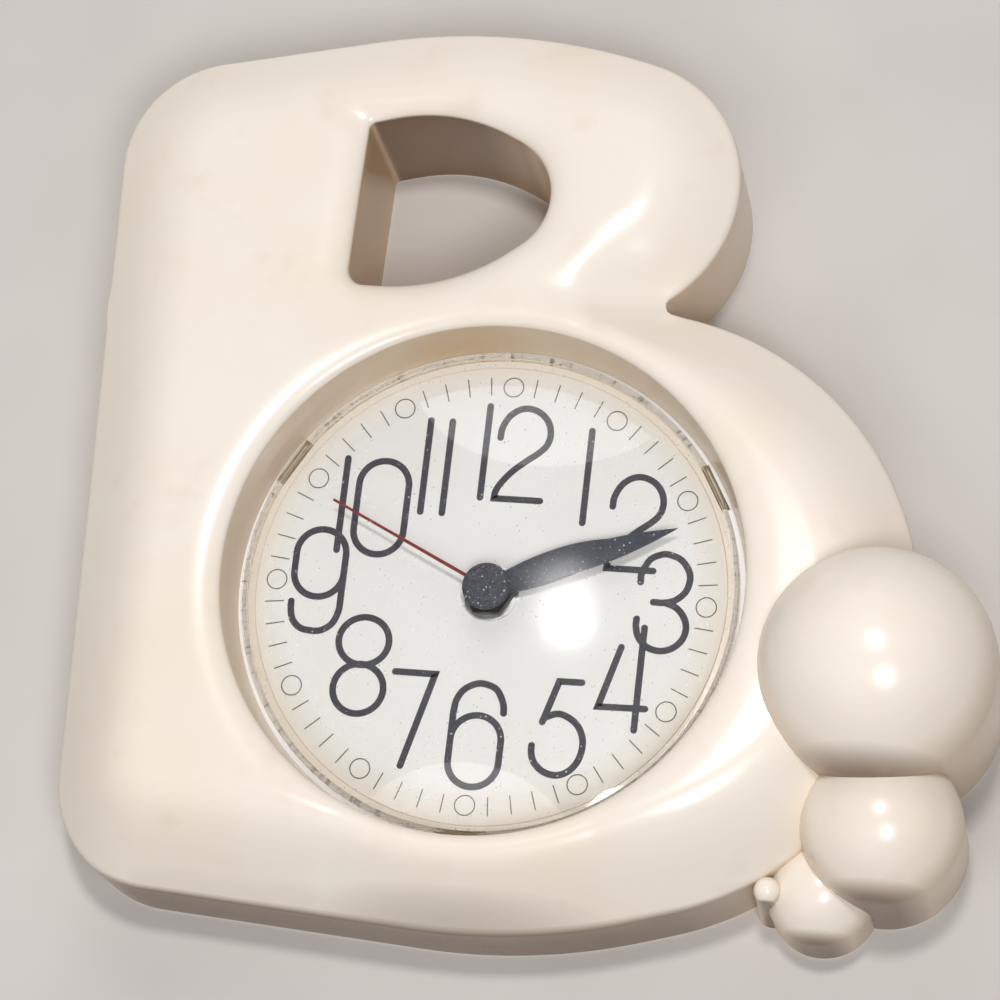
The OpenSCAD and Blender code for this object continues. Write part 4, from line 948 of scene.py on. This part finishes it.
# Strokes of each numeral, as paths
DIGITS = {
    "0": [stadium_path(0, 12.2, 0, 23.6)],
    "1": [[(0, 0), (0, 23.2)]],
    "2": [[*smooth_path(TWO_CURVE), (11.2, 0.0)]],
    "3": [smooth_path(THREE_TOP), smooth_path(THREE_LOW)],
    "4": [[(4.1, 14.8), (0, 0), (11.2, 0.2)], [(9.1, -5.1), (9.1, 19.9)]],
    "5": [[(10.3, 22.8), (4.9, 22.75), (1.9, 12.6)], smooth_path(FIVE_BOWL)],
    "6": [[*smooth_path(SIX_TOP), (0, 17.0), (0, 6.2)], stadium_path(0, 12.1, 0, 17.4)],
    "7": [[(0, 22.8), (9.7, 22.8), (3.9, 0)]],
    "8": [arc_path(6.1, 17.9, 6.1, 5.9), arc_path(6.1, 6.1, 6.1, 6.1)],
    "9": [stadium_path(0, 12.1, 8.4, 25.3), [(12.1, 19.0), (12.1, 8.2), *smooth_path(NINE_LOW)]],
}
# Each numeral's digits with the place of its lower left corner on the dial
NUMERALS = [
    ("1", -5.1, 23.7), ("2", -1.7, 23.7), ("1", 20.3, 18.9), ("2", 27.3, 8.1), ("3", 35.8, -11.4),
    ("4", 28.8, -25.9), ("5", 14.2, -43.2), ("6", -5.3, -47.5), ("7", -20.4, -43.6), ("8", -35.0, -31.8),
    ("9", -48.0, -12.1), ("1", -38.4, 8.3), ("0", -34.9, 7.8), ("1", -19.2, 19.2), ("1", -13.9, 19.2),
]
TRACK_R, TICK_IN, TICK_OUT, TICK_W, RING_MARK_R = 52.0, 49.9, 54.5, 0.27, 2.4
# The ink stands a little proud of the dial, and each stroke is a hair higher than the last, so none
# lies in the same plane as another
INK_T, INK_STEP, TRACK_T = 0.04, 0.004, 0.05


class CLOCK_OT_dial(bpy.types.Operator):
    """Makes the dial sheet and prints its numerals and its minute track"""

    bl_idname = "clock.dial"
    bl_label = "Dial"

    def execute(self, context):
        size = context.scene.clock_sizes
        rim, bevel = SEAT_R - 0.03, 0.06
        sheet = [[DIAL_BORE_R, DIAL_BACK_H], [rim, DIAL_BACK_H], [rim, DIAL_H - bevel]]
        sheet += [[rim - bevel, DIAL_H], [DIAL_BORE_R, DIAL_H]]
        card = dial_card(context.scene.clock_colours)
        mesh = new_mesh("dial", *ring_solid(sheet, FACETS))
        add_piece("dial_sheet", mesh, 30.0, "clock", card, "dial", slot="dial_white")

        strokes = []
        for digit, x, y in NUMERALS:
            for path in DIGITS[digit]:
                top = DIAL_H + INK_T + INK_STEP * len(strokes)
                strokes.append(stroke_solid(np.asarray(path) + [x, y], mm(size.stroke), DIAL_H, top))
        mesh = new_mesh("dial_numerals", *join_solids(strokes))
        add_piece("dial_numerals", mesh, 30.0, "clock", dial_ink("dark_grey_ink", "#2e2d37", 0.35))

        ticks = []
        for minute in range(60):
            way = aim(math.radians(90 - 6 * minute))
            path = [way * TICK_IN, way * TICK_OUT]
            if minute % 5 == 0:
                path = arc_path(*(way * TRACK_R), RING_MARK_R, RING_MARK_R)
            ticks.append(stroke_solid(path, TICK_W, DIAL_H, DIAL_H + TRACK_T, False))
        mesh = new_mesh("dial_minute_track", *join_solids(ticks))
        add_piece("dial_minute_track", mesh, 30.0, "clock", dial_ink("grey_track_ink", "#58534f", 0.1))
        return {"FINISHED"}


def leaf_width(t, width, root):
    """Width of a leaf hand at share t of its length: a sine swell from the root to the widest place,
    then a cosine taper to the tip."""
    wide = 0.45
    swell = blend(root, width, soft_roll(t / wide))
    taper = np.cos(np.pi / 2 * np.clip((t - wide) / (1 - wide), 0, 1) ** 1.2)
    return np.where(t < wide, swell, width * taper)


def leaf_hand(angle, length, width, root, eye, bore, h):
    """A pressed leaf hand with its round eye: a thin plate whose outline is the eye's circle, then
    the leaf's two edges, with a hole for the sleeve."""
    t = np.sin(np.linspace(0.02, 1, 60) * math.pi / 2)
    half = leaf_width(t, width, root) / 2
    half[-1] = 0.0
    right, left = np.c_[half, t * length], np.c_[-half, t * length][::-1][1:]
    # the part of the leaf that lies within the eye is left off
    under = np.searchsorted(t * length, math.sqrt(eye**2 - (root / 2) ** 2))
    right, left = right[under:], left[: len(left) - under]
    a0 = math.atan2(left[-1][1], left[-1][0])
    a1 = math.atan2(right[0][1], right[0][0]) + 2 * math.pi
    loop = np.vstack([right, left, eye * aim(np.linspace(a0, a1, 60)[1:-1])])
    turn = math.radians(-angle)
    loop = loop @ np.array([[math.cos(turn), math.sin(turn)], [-math.sin(turn), math.cos(turn)]])
    plate = new_mesh("plate", *prism(loop, h, h + HAND_T))
    hole = new_mesh("hole", *prism(circle(bore, 64), h - 1, h + 1 + HAND_T))
    return combine(plate, [("DIFFERENCE", hole)])


class CLOCK_OT_hands(bpy.types.Operator):
    """Makes the three hands and the cap over them"""

    bl_idname = "clock.hands"
    bl_label = "Hands"

    def execute(self, context):
        size = context.scene.clock_sizes
        black = hand_paint("satin_black_hand_paint", "#343845", 0.45)
        hour = leaf_hand(
            HOUR_ANGLE, mm(size.hour_length), width=7.6, root=3.8, eye=4.55, bore=2.55, h=HOUR_HAND_H
        )
        minute = leaf_hand(
            MINUTE_ANGLE, mm(size.minute_length), width=6.0, root=3.0, eye=4.15, bore=1.75, h=MINUTE_HAND_H
        )
        for name, mesh, body in (("hour_hand", hour, "hour"), ("minute_hand", minute, "minute")):
            piece = add_piece(name + "_plate", mesh, 30.0, body, black, name, slot="hand_black")
            edge = piece.modifiers.new("edge", "BEVEL")
            edge.width, edge.segments, edge.limit_method = 0.07 * MM, 2, "ANGLE"

        # the second hand is a thin pin that narrows towards its tip, with an eye under the cap
        low, high = SECOND_HAND_H, SECOND_HAND_H + HAND_T / 2
        way = aim(math.radians(90 - SECOND_ANGLE))
        half_root, half_tip, eye_r, bore_r = 0.45, 0.3, 3.42, 0.9
        half = blend(half_root, half_tip, np.linspace(0, 1, 20))[:, None] * [-way[1], way[0]]
        along = way * np.linspace(0, mm(size.second_length), 20)[:, None]
        pin = new_mesh("pin", *prism(np.vstack([along + half, (along - half)[::-1]]), low, high))
        eye = new_mesh("eye", *prism(circle(eye_r, 64), low, high))
        bore = new_mesh("bore", *prism(circle(bore_r, 48), low - 1, low + 1))
        mesh = combine(pin, [("UNION", eye), ("DIFFERENCE", bore)])
        red = hand_paint("red_hand_paint", "#7d2425", 0.15)
        add_piece("second_hand_pin", mesh, 30.0, "second", red, "second_hand", slot="hand_red")

        # the cap: an upright side, a round of 0.6 mm and a crown that rises 0.15 mm to the middle
        r, top, bevel, soft, rise = mm(size.cap_radius), high + 1.6, 0.25, 0.6, 0.15
        bend = np.linspace(0, math.pi / 2, 9)
        crown = np.linspace(0, 1, 14)[1:-1][::-1]
        profile = np.vstack(
            [
                [[0, high], [r - bevel, high], [r, high + bevel]],
                np.c_[r - soft + soft * np.cos(bend), top - rise - soft + soft * np.sin(bend)],
                np.c_[(r - soft) * crown, top - rise * crown**2],
                [[0, top]],
            ]
        )
        mesh = new_mesh("cap", *revolve(profile, 96))
        black = hand_paint("black_cap_styrene", "#30343f", 0.7)
        add_piece("centre_cap_disc", mesh, 40.0, "second", black, "centre_cap", slot="cap_black")
        return {"FINISHED"}


class CLOCK_OT_finishes(bpy.types.Operator):
    """Gives the carried-over solids of the dial, the shaft and the movement their finishes"""

    bl_idname = "clock.finishes"
    bl_label = "Finishes"

    def execute(self, context):
        metal, plastic = turned_metal, moulded_plastic
        finishes = (
            (metal("turned_brass", "#c9a65c", "#a98544", 0.3), "cannon_pinion clutch_spring contact_plus"),
            (
                metal("pressed_steel", "#b9bbbd", "#9c9fa3", 0.34),
                "dial_washer stator coil_core quartz_crystal contact_minus",
            ),
            (metal("dark_bronze", "#4a4036", "#3a332c", 0.42), "dial_nut"),
            (metal("sintered_ferrite", "#3c3f44", "#4a4d52", 0.6), "rotor_magnet"),
            (metal("enamelled_copper_wire", "#b4622c", "#8f4a20", 0.35), "coil_winding"),
            (
                plastic("white_acetal", "#ece9e0", "#e2ddd0", 0.42, 0.5, 0.008),
                "coil_bobbin hour_wheel motion_wheel centre_wheel third_wheel second_wheel"
                " intermediate_wheel rotor_pinion",
            ),
            (plastic("black_housing_abs", "#1f2226", "#282b30", 0.48), "movement_front"),
            (plastic("black_cover_abs", "#24272b", "#2d3136", 0.5), "movement_cover"),
            (plastic("black_rubber", "#202020", "#2a2a2a", 0.8, 0.4, 0.03), "rubber_washer"),
            (plastic("green_solder_mask", "#2f5f3d", "#376b46", 0.35, 0.8, 0.01), "circuit_board"),
            (plastic("black_epoxy", "#141416", "#1c1c20", 0.25, 2.0, 0.02), "chip_cap"),
            (plastic("grey_knob_abs", "#4a4d52", "#55585e", 0.5), "setting_knob"),
            (cell_jacket(), "battery_cell"),
        )
        for made, names in finishes:
            for name in names.split():
                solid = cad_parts[name]
                solid.data.materials.clear()
                solid.data.materials.append(made)
        return {"FINISHED"}


# Each lamp: name, place and width in metres, watts, colour, and whether the lens mirrors it
LAMPS = (
    ("ceiling", (0.082, -1.27, 0.09), 0.165, 6.0, "#fffdfd", True),
    ("window", (0.30, -0.96, -0.54), 0.3, 3.6, "#fafbff", True),
    ("above", (-0.1, -0.8, 0.95), 0.9, 4.4, "#ffffff", False),
    ("below", (-0.2, -1.05, -0.8), 0.9, 4.6, "#ffffff", False),
    ("behind", (0.0, 1.9, -0.12), 1.0, 13.0, "#ffffff", False),
)
LAMP_TARGET = np.array([0.0, 0.0, -0.12])
WORLD_COLOUR, WORLD_STRENGTH = "#f2f1ef", 0.13
# The camera's right, up and back, and its place in metres
CAMERA_AXES = (
    (0.98224217, 0.15031773, 0.11227157),
    (-0.06072883, -0.31146337, 0.94831565),
    (0.17751714, -0.93829374, -0.29680384),
)
CAMERA_PLACE = (0.17097, -0.92739, -0.39186)


def put_in(name, data, axes, where):
    """Puts a lamp or the camera into the scene. axes holds its right, up and back."""
    obj = bpy.data.objects.new(name, data)
    turn = np.eye(4)
    turn[:3, :3] = np.stack(axes, 1)
    turn[:3, 3] = where
    obj.matrix_world = Matrix(turn.tolist())
    bpy.context.scene.collection.objects.link(obj)
    return obj


class CLOCK_OT_stage(bpy.types.Operator):
    """Sets up the pale wall, the soft lights and the camera"""

    bl_idname = "clock.stage"
    bl_label = "Stage"

    def execute(self, context):
        scene = context.scene
        scene.view_settings.view_transform = "Standard"
        self.add_wall(scene)
        self.add_world(scene)
        for lamp in LAMPS:
            self.add_lamp(*lamp)
        self.add_camera(scene)
        return {"FINISHED"}

    def add_wall(self, scene):
        """A pale wall just behind the clock. Seen from behind it is clear, so the clock's back shows."""
        half, back = 3.0, 0.0004
        mesh = bpy.data.meshes.new("wall")
        corners = [(-half, back, -half), (half, back, -half), (half, back, half), (-half, back, half)]
        mesh.from_pydata(corners, [], [(0, 1, 2, 3)])
        pale = [*scene.clock_colours.wall, 1.0]
        made, tree, shader, where = material("pale_plaster", pale, rough=0.9)
        mottle(tree, shader, where, pale, linear("#c6c1bc"), 90)
        behind = node(tree, "NewGeometry").outputs["Backfacing"]
        shown = node(tree, "MixShader", Fac=behind, i1=shader, i2=node(tree, "BsdfTransparent"))
        join(tree, shown, tree.nodes["Material Output"].inputs["Surface"])
        mesh.materials.append(made)
        wall = bpy.data.objects.new("wall", mesh)
        wall.visible_shadow = False
        scene.collection.objects.link(wall)

    def add_world(self, scene):
        """An even pale light from all round."""
        world = bpy.data.worlds.new("studio")
        world.use_nodes = True
        light = world.node_tree.nodes["Background"].inputs
        light["Color"].default_value = linear(WORLD_COLOUR)
        light["Strength"].default_value = WORLD_STRENGTH
        scene.world = world

    def add_lamp(self, name, where, width, power, hex_colour, mirrored):
        """A round soft light that faces the dial. A fill light isn't mirrored in the lens."""
        lamp = bpy.data.lights.new(name, "AREA")
        lamp.shape, lamp.size, lamp.energy = "DISK", width, power
        lamp.color = linear(hex_colour)[:3]
        back = unit(np.array(where) - LAMP_TARGET)
        right = unit(np.cross([0.0, 0.0, 1.0], back))
        obj = put_in(name, lamp, (right, np.cross(back, right), back), where)
        obj.visible_glossy = mirrored

    def add_camera(self, scene):
        """A long lens below and to the right of the clock, tilted a few degrees."""
        camera = bpy.data.cameras.new("camera")
        camera.sensor_width, camera.lens = 36.0, 144.0
        camera.clip_start, camera.clip_end = 0.05, 20.0
        scene.camera = put_in("camera", camera, CAMERA_AXES, CAMERA_PLACE)


PIECES = (CLOCK_OT_case, CLOCK_OT_lens, CLOCK_OT_dial, CLOCK_OT_hands, CLOCK_OT_finishes, CLOCK_OT_stage)


class CLOCK_PT_sidebar(bpy.types.Panel):
    """Lists the clock's pieces in the sidebar"""

    bl_idname = "CLOCK_PT_sidebar"
    bl_label = "Wall Clock"
    bl_space_type = "VIEW_3D"
    bl_region_type = "UI"
    bl_category = "Wall Clock"

    def draw(self, context):
        for group in (context.scene.clock_sizes, context.scene.clock_colours):
            for key in group.__annotations__:
                self.layout.prop(group, key)
        for piece in PIECES:
            self.layout.operator(piece.bl_idname)


CLASSES = (ClockSizes, ClockColours, *PIECES, CLOCK_PT_sidebar)


def register():
    for cls in CLASSES:
        bpy.utils.register_class(cls)
    bpy.types.Scene.clock_sizes = PointerProperty(type=ClockSizes)
    bpy.types.Scene.clock_colours = PointerProperty(type=ClockColours)


def unregister():
    del bpy.types.Scene.clock_sizes
    del bpy.types.Scene.clock_colours
    for cls in reversed(CLASSES):
        bpy.utils.unregister_class(cls)


def main():
    register()
    bpy.ops.clock.case()
    bpy.ops.clock.lens()
    bpy.ops.clock.dial()
    bpy.ops.clock.hands()
    bpy.ops.clock.finishes()
    bpy.ops.clock.stage()


if __name__ == "__main__":
    main()
